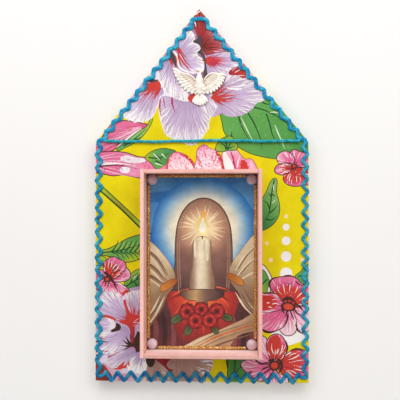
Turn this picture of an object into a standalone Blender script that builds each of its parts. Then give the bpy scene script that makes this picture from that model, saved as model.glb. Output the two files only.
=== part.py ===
"""A small gabled wall shrine: a cloth-covered board with a shallow open box, trims and a hanger.

Metres, +Z up. The front faces -Y. The origin is the middle of the cloth-covered base edge.
"""

import math

import bmesh
import bpy
from mathutils import Matrix, Vector
from mathutils.geometry import interpolate_bezier

# Board, cloth and lining
BOARD_WIDTH = 0.119
BOARD_EAVE_HEIGHT = 0.1342
BOARD_RIDGE_HEIGHT = 0.209
BOARD_THICKNESS = 0.006
RIDGE_SHIFT = -0.0012
FABRIC_THICKNESS = 0.0004
FABRIC_TURN_IN = 0.014
LINING_THICKNESS = 0.0003
LINING_MARGIN = 0.005
GLUE_GAP = 0.0001

# Shadow box, its picture, glitter cords and half pearls
BOX_WIDTH = 0.0658
BOX_HEIGHT = 0.102
BOX_DEPTH = 0.016
BOX_WALL = 0.002
BOX_FLOOR = 0.002
BOX_CENTRE_HEIGHT = 0.0678
BOX_SHIFT = 0.0004
BOX_EDGE_ROUNDING = 0.0002
CARD_THICKNESS = 0.0004
CARD_CLEARANCE = 0.0003
GLITTER_WIDTH = 0.002
GLITTER_HEIGHT = 0.0013
PEARL_RADIUS = 0.003

# Wave braid round the edge and cord along the eaves
RICKRACK_PITCH = 0.0073
RICKRACK_SWING = 0.00135
RICKRACK_BASE_SWING = 0.0019
RICKRACK_BASE_LIFT = 0.001
RICKRACK_BAND = 0.0024
RICKRACK_THICKNESS = 0.0009
RICKRACK_OVERHANG = 0.0003
RICKRACK_CORNER_RADIUS = 0.004
RICKRACK_END_GAP = 0.0004
EAVE_CORD_DIAMETER = 0.0018
EAVE_CORD_RISE = 0.0008
EAVE_CORD_END_GAP = 0.003

# Resin dove
DOVE_SPAN = 0.030
DOVE_CENTRE_HEIGHT = 0.1656
DOVE_SHIFT = -0.001
DOVE_WING_THICKNESS = 0.0013

# Hanger on the back
HANGER_HEIGHT = 0.165
STRAP_WIDTH = 0.009
STRAP_LENGTH = 0.0115
STRAP_THICKNESS = 0.0008
RING_WIRE = 0.0015
RING_LENGTH = 0.019
RING_SIDE_CLEARANCE = 0.0018
RING_CORNER_RADIUS = 0.002
EYE_CLEARANCE = 0.0002
SCREW_HEAD_RADIUS = 0.0025
SCREW_HEAD_HEIGHT = 0.0014
SCREW_SHANK_RADIUS = 0.0012
SCREW_BITE = 0.004
SCREW_TIP = 0.0012
SCREW_SLOT = 0.0006
SCREW_DROP = 0.0068

# Smoothness of the round forms
WAVE_SAMPLES = 6
ARC_STEPS = 8
TURN_STEPS = 20
WIRE_RESOLUTION = 2
CUT_REACH = 0.002
WELD = 0.000001

# Places that follow from the sizes
SKIN = FABRIC_THICKNESS + GLUE_GAP
FRONT_FACE = -(BOARD_THICKNESS / 2 + SKIN)
BACK_FACE = BOARD_THICKNESS / 2 + SKIN
LINING_BACK = BACK_FACE + GLUE_GAP + LINING_THICKNESS
EAVE_LEVEL = SKIN + BOARD_EAVE_HEIGHT
BOX_BACK = FRONT_FACE - GLUE_GAP
BOX_RIM = BOX_BACK - BOX_DEPTH
FLOOR_FRONT = BOX_BACK - BOX_FLOOR
CARD_BACK = FLOOR_FRONT - GLUE_GAP
CARD_FRONT = CARD_BACK - CARD_THICKNESS
INNER_HALF_WIDTH = BOX_WIDTH / 2 - BOX_WALL
INNER_HALF_HEIGHT = BOX_HEIGHT / 2 - BOX_WALL
STRAP_BACK = LINING_BACK + GLUE_GAP
EYE_RADIUS = RING_WIRE / 2 + EYE_CLEARANCE
RING_AXIS = Vector((0, STRAP_BACK + STRAP_THICKNESS + EYE_RADIUS, HANGER_HEIGHT))
FACE_FRONT = (math.pi / 2, 0, 0)
FACE_BACK = (-math.pi / 2, 0, 0)


def clear_scene():
    for thing in list(bpy.data.objects):
        bpy.data.objects.remove(thing, do_unlink=True)


def new_collection(name):
    collection = bpy.data.collections.new(name)
    bpy.context.scene.collection.children.link(collection)
    return collection


def material(name, colour, roughness, metallic=0.0):
    made = bpy.data.materials.new(name)
    made.use_nodes = True
    shader = made.node_tree.nodes["Principled BSDF"]
    shader.inputs["Base Color"].default_value = (*colour, 1)
    shader.inputs["Roughness"].default_value = roughness
    shader.inputs["Metallic"].default_value = metallic
    return made


def add_part(thing, finish):
    PARTS.objects.link(thing)
    thing.data.materials.append(finish)
    return thing


def add_cutter(thing):
    CUTTERS.objects.link(thing)
    thing.hide_render = True
    thing.display_type = "WIRE"
    return thing


def combine(target, other, operation):
    modifier = target.modifiers.new(f"{operation.lower()}_{other.name}", "BOOLEAN")
    modifier.operation = operation
    modifier.solver = "EXACT"
    modifier.object = other


def box(name, low, high):
    """A block between two opposite corners."""
    low, high = Vector(low), Vector(high)
    size = Matrix.Diagonal((*(high - low), 1))
    mesh = bpy.data.meshes.new(name)
    shape = bmesh.new()
    bmesh.ops.create_cube(shape, size=1, matrix=Matrix.Translation((low + high) / 2) @ size)
    shape.to_mesh(mesh)
    shape.free()
    return bpy.data.objects.new(name, mesh)


def mesh_from_curve(curve_object):
    """The curve's evaluated surface as a welded mesh object in the same place."""
    bpy.context.scene.collection.objects.link(curve_object)
    graph = bpy.context.evaluated_depsgraph_get()
    mesh = bpy.data.meshes.new_from_object(curve_object.evaluated_get(graph))
    shape = bmesh.new()
    shape.from_mesh(mesh)
    bmesh.ops.remove_doubles(shape, verts=shape.verts, dist=WELD)
    bmesh.ops.recalc_face_normals(shape, faces=shape.faces)
    shape.to_mesh(mesh)
    shape.free()
    name, place = curve_object.name, curve_object.matrix_world.copy()
    bpy.data.objects.remove(curve_object)
    solid = bpy.data.objects.new(name, mesh)
    solid.name = name
    solid.matrix_world = place
    return solid


def flat_solid(name, loops, thickness, place):
    """A plate with the given outlines (the first outside, the others holes), thick both ways from place."""
    curve = bpy.data.curves.new(name, "CURVE")
    curve.dimensions = "2D"
    curve.fill_mode = "BOTH"
    curve.extrude = thickness / 2
    for loop in loops:
        spline = curve.splines.new("POLY")
        spline.points.add(len(loop) - 1)
        for point, corner in zip(spline.points, loop):
            point.co = (corner[0], corner[1], 0, 1)
        spline.use_cyclic_u = True
    shape = bpy.data.objects.new(name, curve)
    shape.matrix_world = place
    return mesh_from_curve(shape)


def upright_plate(name, outline, front, back):
    """A plate whose outline is drawn in x and z, between two y levels."""
    turn = Matrix.Rotation(math.pi / 2, 4, "X")
    return flat_solid(name, [outline], back - front, Matrix.Translation((0, (front + back) / 2, 0)) @ turn)


def wire(name, points, diameter, cyclic):
    curve = bpy.data.curves.new(name, "CURVE")
    curve.dimensions = "3D"
    curve.bevel_depth = diameter / 2
    curve.bevel_resolution = WIRE_RESOLUTION
    curve.use_fill_caps = True
    spline = curve.splines.new("POLY")
    spline.points.add(len(points) - 1)
    for point, corner in zip(spline.points, points):
        point.co = (*corner, 1)
    spline.use_cyclic_u = cyclic
    return bpy.data.objects.new(name, curve)


def turned(name, profile, place, rotation):
    """A profile of (radius, height) points, top to bottom, turned round its own Z axis."""
    mesh = bpy.data.meshes.new(name)
    edges = [(index, index + 1) for index in range(len(profile) - 1)]
    mesh.from_pydata([(radius, 0, height) for radius, height in profile], edges, [])
    shape = bpy.data.objects.new(name, mesh)
    screw = shape.modifiers.new("turn", "SCREW")
    screw.steps = screw.render_steps = TURN_STEPS
    screw.use_merge_vertices = True
    screw.merge_threshold = WELD
    screw.use_smooth_shade = True
    shape.location = place
    shape.rotation_euler = rotation
    return shape


def arc(centre, radius, start, end, steps=ARC_STEPS):
    angles = [start + (end - start) * step / steps for step in range(steps + 1)]
    return [Vector((centre[0] + radius * math.cos(a), centre[1] + radius * math.sin(a))) for a in angles]


def outward(start, end):
    along = (end - start).normalized()
    return Vector((along.y, -along.x))


def offset_outline(corners, grow):
    """The outline with every side moved out by the same distance, or in where it is negative."""
    moved = []
    for index, corner in enumerate(corners):
        before = outward(corners[index - 1], corner)
        after = outward(corner, corners[(index + 1) % len(corners)])
        moved.append(corner + (before + after) * grow / (1 + before.dot(after)))
    return moved


def house_outline(grow, base_lift=0.0):
    """The gabled outline of the board, grown by a distance, with its base raised by base_lift."""
    half = BOARD_WIDTH / 2
    corners = [
        Vector((-half, SKIN + base_lift)),
        Vector((half, SKIN + base_lift)),
        Vector((half, EAVE_LEVEL)),
        Vector((RIDGE_SHIFT, SKIN + BOARD_RIDGE_HEIGHT)),
        Vector((-half, EAVE_LEVEL)),
    ]
    return offset_outline(corners, grow)


def make_board_and_cloth():
    front, back = -BOARD_THICKNESS / 2, BOARD_THICKNESS / 2
    board = add_part(upright_plate("back_board", house_outline(0), front, back), BOARD_BROWN)

    cover = add_part(upright_plate("fabric_cover", house_outline(SKIN), FRONT_FACE, BACK_FACE), CLOTH_YELLOW)
    room = upright_plate("board_room", house_outline(GLUE_GAP), front - GLUE_GAP, back + GLUE_GAP)
    combine(cover, add_cutter(room), "DIFFERENCE")
    window = upright_plate("back_window", house_outline(-FABRIC_TURN_IN), back, BACK_FACE + CUT_REACH)
    combine(cover, add_cutter(window), "DIFFERENCE")

    outline = house_outline(-LINING_MARGIN)
    lining = add_part(upright_plate("back_lining", outline, BACK_FACE + GLUE_GAP, LINING_BACK), LINING_PAPER)
    return board, lining


def edge_run(inset, base_lift):
    """The braid's middle line round the edge as straight and round stretches: length, point(s), normal(s)."""
    radius = RICKRACK_CORNER_RADIUS
    corners = house_outline(SKIN - inset - radius, base_lift)
    stretches = []
    for index, corner in enumerate(corners):
        following = corners[(index + 1) % len(corners)]
        after = corners[(index + 2) % len(corners)]
        side = outward(corner, following)
        next_side = outward(following, after)
        along = following - corner
        stretches.append((along.length, corner + side * radius, along.normalized(), side, None))
        turn = side.angle(next_side)
        stretches.append((radius * turn, following, None, side, radius))
    return stretches


def on_run(stretches, distance):
    """The point and outward normal at a distance along the stretches."""
    for length, start, along, normal, radius in stretches:
        if distance <= length:
            break
        distance -= length
    if along is not None:
        return start + along * distance, normal
    turn = distance / radius
    normal = Matrix.Rotation(turn, 2) @ normal
    return start + normal * radius, normal


def make_rickrack():
    """One wave braid round the whole edge, its two ends butted in the middle of the base."""
    reach = RICKRACK_SWING + RICKRACK_BAND / 2
    inset = reach - RICKRACK_OVERHANG
    stretches = edge_run(inset, RICKRACK_BASE_LIFT)
    whole = sum(stretch[0] for stretch in stretches)
    start = stretches[0][0] / 2 + RICKRACK_END_GAP / 2
    length = whole - RICKRACK_END_GAP
    waves = 2 * round((length / RICKRACK_PITCH - 1) / 2) + 1
    samples = waves * WAVE_SAMPLES
    outer, inner = [], []
    for sample in range(samples + 1):
        point, normal = on_run(stretches, (start + length * sample / samples) % whole)
        reach_out = RICKRACK_BASE_SWING if normal.y < -0.99 else RICKRACK_SWING
        swing = reach_out * math.cos(2 * math.pi * sample / WAVE_SAMPLES)
        outer.append(point + normal * (swing + RICKRACK_BAND / 2))
        inner.append(point + normal * (swing - RICKRACK_BAND / 2))
    back = FRONT_FACE - GLUE_GAP
    outline = outer + inner[::-1]
    add_part(upright_plate("rickrack_trim", outline, back - RICKRACK_THICKNESS, back), BRAID_BLUE)

    half = BOARD_WIDTH / 2 + SKIN - inset - reach - EAVE_CORD_END_GAP
    level = FRONT_FACE - GLUE_GAP - EAVE_CORD_DIAMETER / 2
    ends = [(x, level, EAVE_LEVEL + EAVE_CORD_RISE) for x in (-half, half)]
    add_part(wire("eave_cord", ends, EAVE_CORD_DIAMETER, cyclic=False), BRAID_BLUE)


def in_box(x, z):
    """A place in the box's own plane, measured from its middle."""
    return BOX_SHIFT + x, BOX_CENTRE_HEIGHT + z


def box_panel(name, low, high, front, back, finish):
    (low_x, low_z), (high_x, high_z) = in_box(*low), in_box(*high)
    panel = add_part(box(name, (low_x, front, low_z), (high_x, back, high_z)), finish)
    return panel


def make_box():
    half_width, half_height = BOX_WIDTH / 2, BOX_HEIGHT / 2
    within = INNER_HALF_WIDTH - GLUE_GAP
    walls = {
        "box_left_wall": ((-half_width, -half_height), (-INNER_HALF_WIDTH, half_height)),
        "box_right_wall": ((INNER_HALF_WIDTH, -half_height), (half_width, half_height)),
        "box_top_wall": ((-within, INNER_HALF_HEIGHT), (within, half_height)),
        "box_bottom_wall": ((-within, -half_height), (within, -INNER_HALF_HEIGHT)),
    }
    for name, (low, high) in walls.items():
        wall = box_panel(name, low, high, BOX_RIM, BOX_BACK, PAINT_PINK)
        rounding = wall.modifiers.new("edges", "BEVEL")
        rounding.width = min(BOX_EDGE_ROUNDING, BOX_WALL / 3)
        rounding.segments = 2

    reach = Vector((within, INNER_HALF_HEIGHT - GLUE_GAP))
    box_panel("box_floor", -reach, reach, FLOOR_FRONT, BOX_BACK, PAINT_PINK)
    card = Vector((INNER_HALF_WIDTH - CARD_CLEARANCE, INNER_HALF_HEIGHT - CARD_CLEARANCE))
    box_panel("picture_card", -card, card, CARD_FRONT, CARD_BACK, CARD_PRINT)


def glitter_cord(name, middle, length, upright):
    """A half-round cord lying flat on the card."""
    profile = [
        (GLITTER_WIDTH / 2 * math.cos(angle), GLITTER_HEIGHT * math.sin(angle))
        for angle in (math.pi * step / ARC_STEPS for step in range(ARC_STEPS + 1))
    ]
    x, z = in_box(*middle)
    spin = Matrix.Identity(4) if upright else Matrix.Rotation(math.pi / 2, 4, "Y")
    stand = Matrix(((1, 0, 0, 0), (0, -1, 0, 0), (0, 0, -1, 0), (0, 0, 0, 1)))
    place = Matrix.Translation((x, CARD_FRONT - GLUE_GAP, z)) @ spin @ stand
    return add_part(flat_solid(name, [profile], length, place), GLITTER_GOLD)


def make_glitter_and_pearls():
    corner = 2 * (PEARL_RADIUS + GLUE_GAP)
    side_x = INNER_HALF_WIDTH - GLUE_GAP - GLITTER_WIDTH / 2
    side_z = INNER_HALF_HEIGHT - GLUE_GAP - GLITTER_WIDTH / 2
    tall = 2 * (INNER_HALF_HEIGHT - corner)
    wide = 2 * (INNER_HALF_WIDTH - corner)
    glitter_cord("glitter_left", (-side_x, 0), tall, upright=True)
    glitter_cord("glitter_right", (side_x, 0), tall, upright=True)
    glitter_cord("glitter_top", (0, side_z), wide, upright=False)
    glitter_cord("glitter_bottom", (0, -side_z), wide, upright=False)

    quarter = arc((0, 0), PEARL_RADIUS, math.pi / 2, 0)
    profile = [(0, PEARL_RADIUS), *[tuple(point) for point in quarter[1:]], (0, 0)]
    out_x = INNER_HALF_WIDTH - GLUE_GAP - PEARL_RADIUS
    out_z = INNER_HALF_HEIGHT - GLUE_GAP - PEARL_RADIUS
    for row, sign_z in (("top", 1), ("bottom", -1)):
        for column, sign_x in (("left", -1), ("right", 1)):
            x, z = in_box(sign_x * out_x, sign_z * out_z)
            place = (x, CARD_FRONT - GLUE_GAP, z)
            add_part(turned(f"pearl_{row}_{column}", profile, place, FACE_FRONT), PEARL_WHITE)


def bezier(points, steps):
    corners = [Vector((*point, 0)) for point in points]
    return [point.to_2d() for point in interpolate_bezier(*corners, steps + 1)]


def feathered(points, feathers, lobe):
    """A curve whose stretches each bulge by lobe to the right of the way it runs, as feather tips do."""
    line = bezier(points, feathers)
    edge = []
    for start, end in zip(line, line[1:]):
        edge.append((start + end) / 2 + outward(start, end) * lobe)
        edge.append(end)
    return edge


def make_dove():
    """One casting with a flat back: body, neck, head and beak between two feathered wings and a fan tail."""
    unit = DOVE_SPAN / 30
    middle = (DOVE_SHIFT, FRONT_FACE - GLUE_GAP, DOVE_CENTRE_HEIGHT)
    place = Matrix.Translation(middle) @ Matrix.Rotation(math.pi / 2, 4, "X") @ Matrix.Scale(unit, 4)
    wing_top = DOVE_WING_THICKNESS / unit
    tail_top = 0.8 * wing_top

    left_lead = bezier([(-0.5, 3.0), (-5.0, 9.5), (-9.0, 7.0), (-15.1, 10.9)], ARC_STEPS)
    left_trail = feathered([(-15.1, 10.9), (-13.8, 5.5), (-9.5, -3.5), (-0.5, -3.6)], 8, 0.45)
    right_lead = bezier([(0.9, 3.0), (5.0, 10.0), (9.0, 8.6), (14.9, 6.9)], ARC_STEPS)
    right_trail = feathered([(14.9, 6.9), (13.5, 1.5), (9.5, -4.0), (0.9, -4.0)], 8, -0.45)
    fan = arc((0.2, -3.4), 6.9, math.radians(-128), math.radians(-48))
    outlines = {
        "left_wing": (left_lead + left_trail, wing_top),
        "right_wing": (right_lead + right_trail, wing_top + 0.05),
        "tail": ([(-1.1, -2.5), *fan, (1.5, -2.5)], tail_top),
    }
    balls = {
        "neck": ((-0.1, 5.6, 0.6), (1.6, 3.4, 2.2)),
        "head": ((-0.4, 8.7, 1.6), (1.35, 1.5, 1.4)),
    }

    def ball(name, centre, radii):
        mesh = bpy.data.meshes.new(name)
        shape = bmesh.new()
        size = Matrix.Translation(centre) @ Matrix.Diagonal((*radii, 1))
        bmesh.ops.create_uvsphere(shape, u_segments=16, v_segments=10, radius=1, matrix=size)
        shape.to_mesh(mesh)
        shape.free()
        made = bpy.data.objects.new(name, mesh)
        made.matrix_world = place
        return made

    dove = add_part(ball("dove", (0.2, 0.8, 0.5), (2.5, 5.4, 2.9)), RESIN_WHITE)
    for name, (outline, top) in outlines.items():
        plate = flat_solid(f"dove_{name}", [outline], 2 * top, place)
        combine(dove, add_cutter(plate), "UNION")
    for name, (centre, radii) in balls.items():
        combine(dove, add_cutter(ball(f"dove_{name}", centre, radii)), "UNION")

    beak = bpy.data.meshes.new("dove_beak")
    cone = bmesh.new()
    lean = Matrix.Translation((-0.5, 8.2, 3.1)) @ Matrix.Rotation(math.radians(35), 4, "X")
    bmesh.ops.create_cone(cone, cap_ends=True, segments=10, radius1=0.6, radius2=0.1, depth=1.4, matrix=lean)
    cone.to_mesh(beak)
    cone.free()
    beak_shape = bpy.data.objects.new("dove_beak", beak)
    beak_shape.matrix_world = place
    combine(dove, add_cutter(beak_shape), "UNION")

    below = box("dove_back_cut", (-20, -20, -10), (20, 20, 0))
    below.matrix_world = place
    combine(dove, add_cutter(below), "DIFFERENCE")


def drill(target, name, radius, depth_low, depth_high, z):
    """A round hole along Y between two depths."""
    mesh = bpy.data.meshes.new(name)
    shape = bmesh.new()
    middle = (0, (depth_low + depth_high) / 2, z)
    place = Matrix.Translation(middle) @ Matrix.Rotation(math.pi / 2, 4, "X")
    bmesh.ops.create_cone(
        shape, cap_ends=True, segments=TURN_STEPS, radius1=radius, radius2=radius,
        depth=depth_high - depth_low, matrix=place,
    )
    shape.to_mesh(mesh)
    shape.free()
    combine(target, add_cutter(bpy.data.objects.new(name, mesh)), "DIFFERENCE")


def make_hanger(board, lining):
    """A strap folded round the ring's bar and screwed through the lining into the board."""
    outer = EYE_RADIUS + STRAP_THICKNESS
    eye = Vector((outer, 0))
    meet = math.atan2(-math.sqrt(outer ** 2 - EYE_RADIUS ** 2), -EYE_RADIUS)
    curl = arc(eye, outer, math.pi, meet, 2 * ARC_STEPS)
    profile = [Vector((0, -STRAP_LENGTH)), *curl, Vector((STRAP_THICKNESS, -STRAP_LENGTH))]
    hole = arc(eye, EYE_RADIUS, 0, 2 * math.pi, 2 * ARC_STEPS)[:-1]
    # The profile's own x and y become the world's y and z
    turn = Matrix(((0, 0, 1, 0), (1, 0, 0, 0), (0, 1, 0, 0), (0, 0, 0, 1)))
    place = Matrix.Translation((0, STRAP_BACK, HANGER_HEIGHT)) @ turn
    strap = add_part(flat_solid("hanger_strap", [profile, hole], STRAP_WIDTH, place), BRASS)

    half = STRAP_WIDTH / 2 + RING_SIDE_CLEARANCE + RING_WIRE / 2
    bend = RING_CORNER_RADIUS
    bow_level = half - RING_LENGTH
    points = [
        *arc((half - bend, -bend), bend, math.pi / 2, 0, 4),
        *arc((0, bow_level), half, 0, -math.pi, 2 * ARC_STEPS),
        *arc((bend - half, -bend), bend, math.pi, math.pi / 2, 4),
    ]
    ring = add_part(wire("hanger_ring", [(p.x, 0, p.y) for p in points], RING_WIRE, cyclic=True), BRASS)
    ring.location = RING_AXIS

    screw_level = HANGER_HEIGHT - SCREW_DROP
    seat = STRAP_BACK + STRAP_THICKNESS + GLUE_GAP
    tip_depth = seat - (BOARD_THICKNESS / 2 - SCREW_BITE)
    head = [
        (SCREW_HEAD_RADIUS * math.sin(angle), SCREW_HEAD_HEIGHT * math.cos(angle))
        for angle in (math.pi / 2 * step / ARC_STEPS for step in range(ARC_STEPS + 1))
    ]
    shank = [
        (SCREW_SHANK_RADIUS, 0),
        (SCREW_SHANK_RADIUS, SCREW_TIP - tip_depth),
        (0, -tip_depth),
    ]
    screw = add_part(turned("hanger_screw", head + shank, (0, seat, screw_level), FACE_BACK), BRASS)
    slot_low = (-SCREW_HEAD_RADIUS, seat + SCREW_HEAD_HEIGHT / 2, screw_level - SCREW_SLOT / 2)
    slot_high = (SCREW_HEAD_RADIUS, seat + SCREW_HEAD_HEIGHT + CUT_REACH, screw_level + SCREW_SLOT / 2)
    combine(screw, add_cutter(box("screw_slot", slot_low, slot_high)), "DIFFERENCE")

    bore = SCREW_SHANK_RADIUS + GLUE_GAP
    pilot_end = BOARD_THICKNESS / 2 - SCREW_BITE - GLUE_GAP
    drill(board, "board_pilot", bore, pilot_end, BOARD_THICKNESS / 2 + CUT_REACH, screw_level)
    drill(lining, "lining_hole", bore, BACK_FACE - CUT_REACH, LINING_BACK + CUT_REACH, screw_level)
    drill(strap, "strap_hole", bore, LINING_BACK - CUT_REACH, seat + CUT_REACH, screw_level)


clear_scene()
PARTS = new_collection("chapel_shrine_box")
CUTTERS = new_collection("cutters")
BOARD_BROWN = material("board_brown", (0.45, 0.32, 0.2), 0.85)
CLOTH_YELLOW = material("cloth_yellow", (0.83, 0.7, 0.04), 0.9)
LINING_PAPER = material("lining_paper", (0.62, 0.52, 0.4), 0.9)
BRAID_BLUE = material("braid_blue", (0.02, 0.32, 0.57), 0.75)
PAINT_PINK = material("paint_pink", (0.84, 0.5, 0.44), 0.6)
CARD_PRINT = material("card_print", (0.25, 0.42, 0.66), 0.35)
GLITTER_GOLD = material("glitter_gold", (0.62, 0.4, 0.1), 0.35, 0.8)
PEARL_WHITE = material("pearl_white", (0.86, 0.74, 0.72), 0.2)
RESIN_WHITE = material("resin_white", (0.86, 0.83, 0.78), 0.35)
BRASS = material("brass", (0.66, 0.5, 0.22), 0.3, 1.0)

board, lining = make_board_and_cloth()
make_rickrack()
make_box()
make_glitter_and_pearls()
make_dove()
make_hanger(board, lining)
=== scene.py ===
"""Looks of the gabled wall shrine: cloth, braid, cord, painted box, picture, glitter, pearls and dove.

Metres, +Z up, front facing -Y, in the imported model's frame. The two prints are drawn in millimetres, x right
and z up, on the plane that they lie on.
"""

import math
import random

import bmesh
import bpy
import numpy as np
from mathutils import Matrix, Vector
from mathutils.geometry import delaunay_2d_cdt


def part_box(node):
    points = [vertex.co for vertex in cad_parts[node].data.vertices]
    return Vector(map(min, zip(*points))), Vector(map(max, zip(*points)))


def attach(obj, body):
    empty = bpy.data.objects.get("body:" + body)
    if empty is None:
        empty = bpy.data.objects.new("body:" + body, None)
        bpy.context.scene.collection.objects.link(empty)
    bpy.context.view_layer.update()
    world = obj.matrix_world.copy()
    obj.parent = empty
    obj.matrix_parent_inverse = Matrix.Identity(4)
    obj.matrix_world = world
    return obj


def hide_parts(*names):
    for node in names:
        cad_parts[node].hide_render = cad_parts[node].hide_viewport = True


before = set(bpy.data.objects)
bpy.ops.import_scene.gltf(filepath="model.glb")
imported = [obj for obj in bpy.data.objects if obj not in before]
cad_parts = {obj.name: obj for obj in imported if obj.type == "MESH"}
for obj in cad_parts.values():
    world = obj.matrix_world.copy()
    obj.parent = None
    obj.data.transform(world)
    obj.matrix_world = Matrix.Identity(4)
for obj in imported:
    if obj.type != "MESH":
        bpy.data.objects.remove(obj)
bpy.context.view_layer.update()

MM = 0.001

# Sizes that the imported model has, in metres
BOARD_HALF_WIDTH = 0.0595
BOARD_BASE = 0.0005
BOARD_EAVE = 0.1347
BOARD_RIDGE = 0.2095
RIDGE_SHIFT = -0.0012
SKIN = 0.0005
CLOTH_FRONT = -0.0035
CLOTH_BACK = 0.0035
CLOTH_TURN_IN = 0.014
GLUE_GAP = 0.0001
RING_BEND = 0.002
DOVE_MIDDLE = (-0.001, 0.1656)

# Wave braid: its run, its waves, and how they vary round the edge
BRAID_PITCH = 0.0073
BRAID_SWING = 0.00135
BRAID_ROOF_SWING = 0.0011
BRAID_BASE_SWING = 0.0024
BRAID_BASE_LIFT = 0.00085
BRAID_INSET = 0.0019
BRAID_CORNER = 0.004
BRAID_SHARPNESS = 0.12
BRAID_SIDE_SHARPNESS = 0.7
BRAID_WIDTH = 0.0019
BRAID_LEFT_EXTRA = 0.12
BRAID_ROOF_EXTRA = 0.18
BRAID_RIDGE_CALM = 0.8
BRAID_RIDGE_SPAN = 0.0022
BRAID_THICKNESS = 0.001
BRAID_RIB = 0.0007
BRAID_RIB_HEIGHT = 0.1
BRAID_SIDE_POWER = 0.8
BRAID_BACK_POWER = 0.7
BRAID_BEND_SHARE = 0.85
BRAID_FINENESS = 3600
BRAID_STEP = 0.00013
BRAID_SIDES = 9

# Uneven waves: amount, times round the edge, start
BRAID_DRIFT = ((0.3, 9, 1), (0.25, 23, 0))
BRAID_SWELL = ((0.08, 31, 2),)

# Twisted cord, glitter and pearls; a sway is an amount, a rate and a start
CORD_LAY = 0.0046
CORD_THICKNESS = 0.0017
CORD_TUCK = 0.003
CORD_STRANDS = 3
CORD_STRAND_SHARE = 0.27
CORD_ORBIT_SHARE = 0.235
CORD_SWAY = ((0.00022, 95, 1), (0.00012, 310, 0))
CORD_PINCH = 0.16
CORD_PINCH_RATE = 560
CORD_FINENESS = 5600
CORD_STEP = 0.00025
FLAKES_PER_METRE = 12000
FLAKE_SIZES = (0.00014, 0.0003)
FLAKE_THICKNESS = 0.00005
FLAKE_TILT = 0.5
FLAKE_DEPTH = 0.9
FLAKE_END = 0.0002
GLUE_FULLNESS = 0.84
GLUE_LUMP = 0.1
GLUE_RATES = (2900, 1130)
GLUE_STEP = 0.0005
PEARL_FOOT = 0.16
PEARL_CROWN = 0.02

# Cloth: a thread in metres, a wave texture's radians at scale one, and the slack for a point on the front
THREAD_PITCH = 0.00045
WAVE_TEXTURE_RATE = 20
FLAT_TOLERANCE = 1e-7

# Paint of the box, in metres from the rim: where the painted light and shade of the inner faces starts, the
# tinted band and the worn, bare band
INNER_LIGHT_START = 0.002
RIM_BAND = (0.0001, 0.0005)
WEAR_BAND = 0.0006

# Fineness of the prints, in millimetres
CURVE_STEP = 1.0
STROKE_STEP = 2.2
CLOTH_GRID = 2.2
CARD_GRID = 1.6

# Camera, as it stood for the photograph
CAMERA_PLACE = (0.0141, -0.3593, 0.0997)
CAMERA_PITCH = 0.42
CAMERA_YAW = 2.39
CAMERA_FIELD = 35.1

# Stage: a wall and a floor in metres, how much the wall shines by itself, and their tones
STAGE_REACH = 1.5
STAGE_FLOOR = -0.3
STAGE_TOP = 1.5
STAGE_NEAR = -2.0
WALL_GLOW = 0.22
GLOW_TINT = (1, 0.99, 0.98, 1)
STAGE_TONES = [(0.3, (205, 204, 204)), (0.7, (209, 208, 208))]

# Light: the room, then each lamp's place, target, width, height, watts, tint and spread in degrees
ROOM_LIGHT = 0.24
ROOM_TINT = (1.0, 0.95, 0.9, 1)
LAMPS = {
    "window_above": ((0, -0.62, 0.88), (0, 0, 0.09), 0.8, 0.5, 7.3, (0.98, 1.0, 1.01), 180),
    "right_fill": ((0.6, -0.66, 0.52), (0, 0, 0.1), 0.5, 0.5, 3.2, (1.0, 0.96, 0.92), 180),
    "left_fill": ((-0.6, -0.66, 0.52), (0, 0, 0.1), 0.5, 0.5, 2.8, (1.0, 0.96, 0.92), 180),
    "back_fill": ((0.1, 0.6, 0.26), (0, 0, 0.11), 0.3, 0.3, 0.3, (1.0, 0.97, 0.94), 40),
}

# Inks of the cloth, as screen colours
YELLOW = (231, 214, 20)
LILAC = (196, 174, 208)
LILAC_PALE = (220, 207, 227)
LILAC_DEEP = (166, 140, 182)
LILAC_WHITE = (236, 229, 238)
RED = (204, 66, 58)
RED_DEEP = (156, 50, 56)
DUSTY_RED = (180, 70, 68)
CRIMSON = (178, 58, 100)
PINK = (226, 116, 158)
PINK_PALE = (240, 192, 213)
PINK_HOT = (212, 84, 132)
GREEN = (102, 167, 84)
GREEN_DARK = (40, 80, 46)
GREEN_PALE = (140, 188, 110)
LIME = (168, 194, 52)
WHITE = (244, 241, 242)
CREAM = (250, 224, 184)
OUTLINE = (70, 50, 46)
SHADE = (84, 72, 78)
HATCH = (158, 142, 160)
OLIVE = (150, 140, 40)
GLEAM = (214, 230, 206)
# Lilac inks darkened and warmed as the box's painted shadow on the cloth below it
BOX_SHADOW_INKS = ((158, 122, 116), (184, 148, 138), (206, 176, 166))

# The tint that leaves a colour as it is
FULL = (255, 255, 255)

# Painted shade on the braid by the height up to the eaves, darkest along the base, and the wood under the
# box's paint
BRAID_SHADE_BY_HEIGHT = [(0.03, (206, 206, 220)), (0.12, (246, 240, 232)), (0.9, (246, 240, 232)), (1.0, FULL)]
BARE_WOOD = (196, 128, 92)


# Flat artwork in millimetres: shapes drawn back to front

def smooth(points, closed=True, step=CURVE_STEP):
    """A curve through the points, sampled about every step millimetres."""
    points = np.asarray(points, float)
    count = len(points)
    if closed:
        before, after = np.roll(points, 1, 0), np.roll(points, -1, 0)
    else:
        before = np.vstack([2 * points[0] - points[1], points[:-1]])
        after = np.vstack([points[1:], 2 * points[-1] - points[-2]])
    heading = after - before
    heading = heading / np.maximum(np.linalg.norm(heading, axis=1), 1e-6)[:, None]
    pieces = []
    for index in range(count if closed else count - 1):
        following = (index + 1) % count
        start, end = points[index], points[following]
        length = np.linalg.norm(end - start)
        steps = max(1, math.ceil(length / step))
        t = (np.arange(steps) / steps)[:, None]
        leave, arrive = heading[index] * length, heading[following] * length
        pieces.append(
            (2 * t**3 - 3 * t**2 + 1) * start + (t**3 - 2 * t**2 + t) * leave
            + (3 * t**2 - 2 * t**3) * end + (t**3 - t**2) * arrive
        )
    if not closed:
        pieces.append(points[-1:])
    return np.vstack(pieces)


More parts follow.
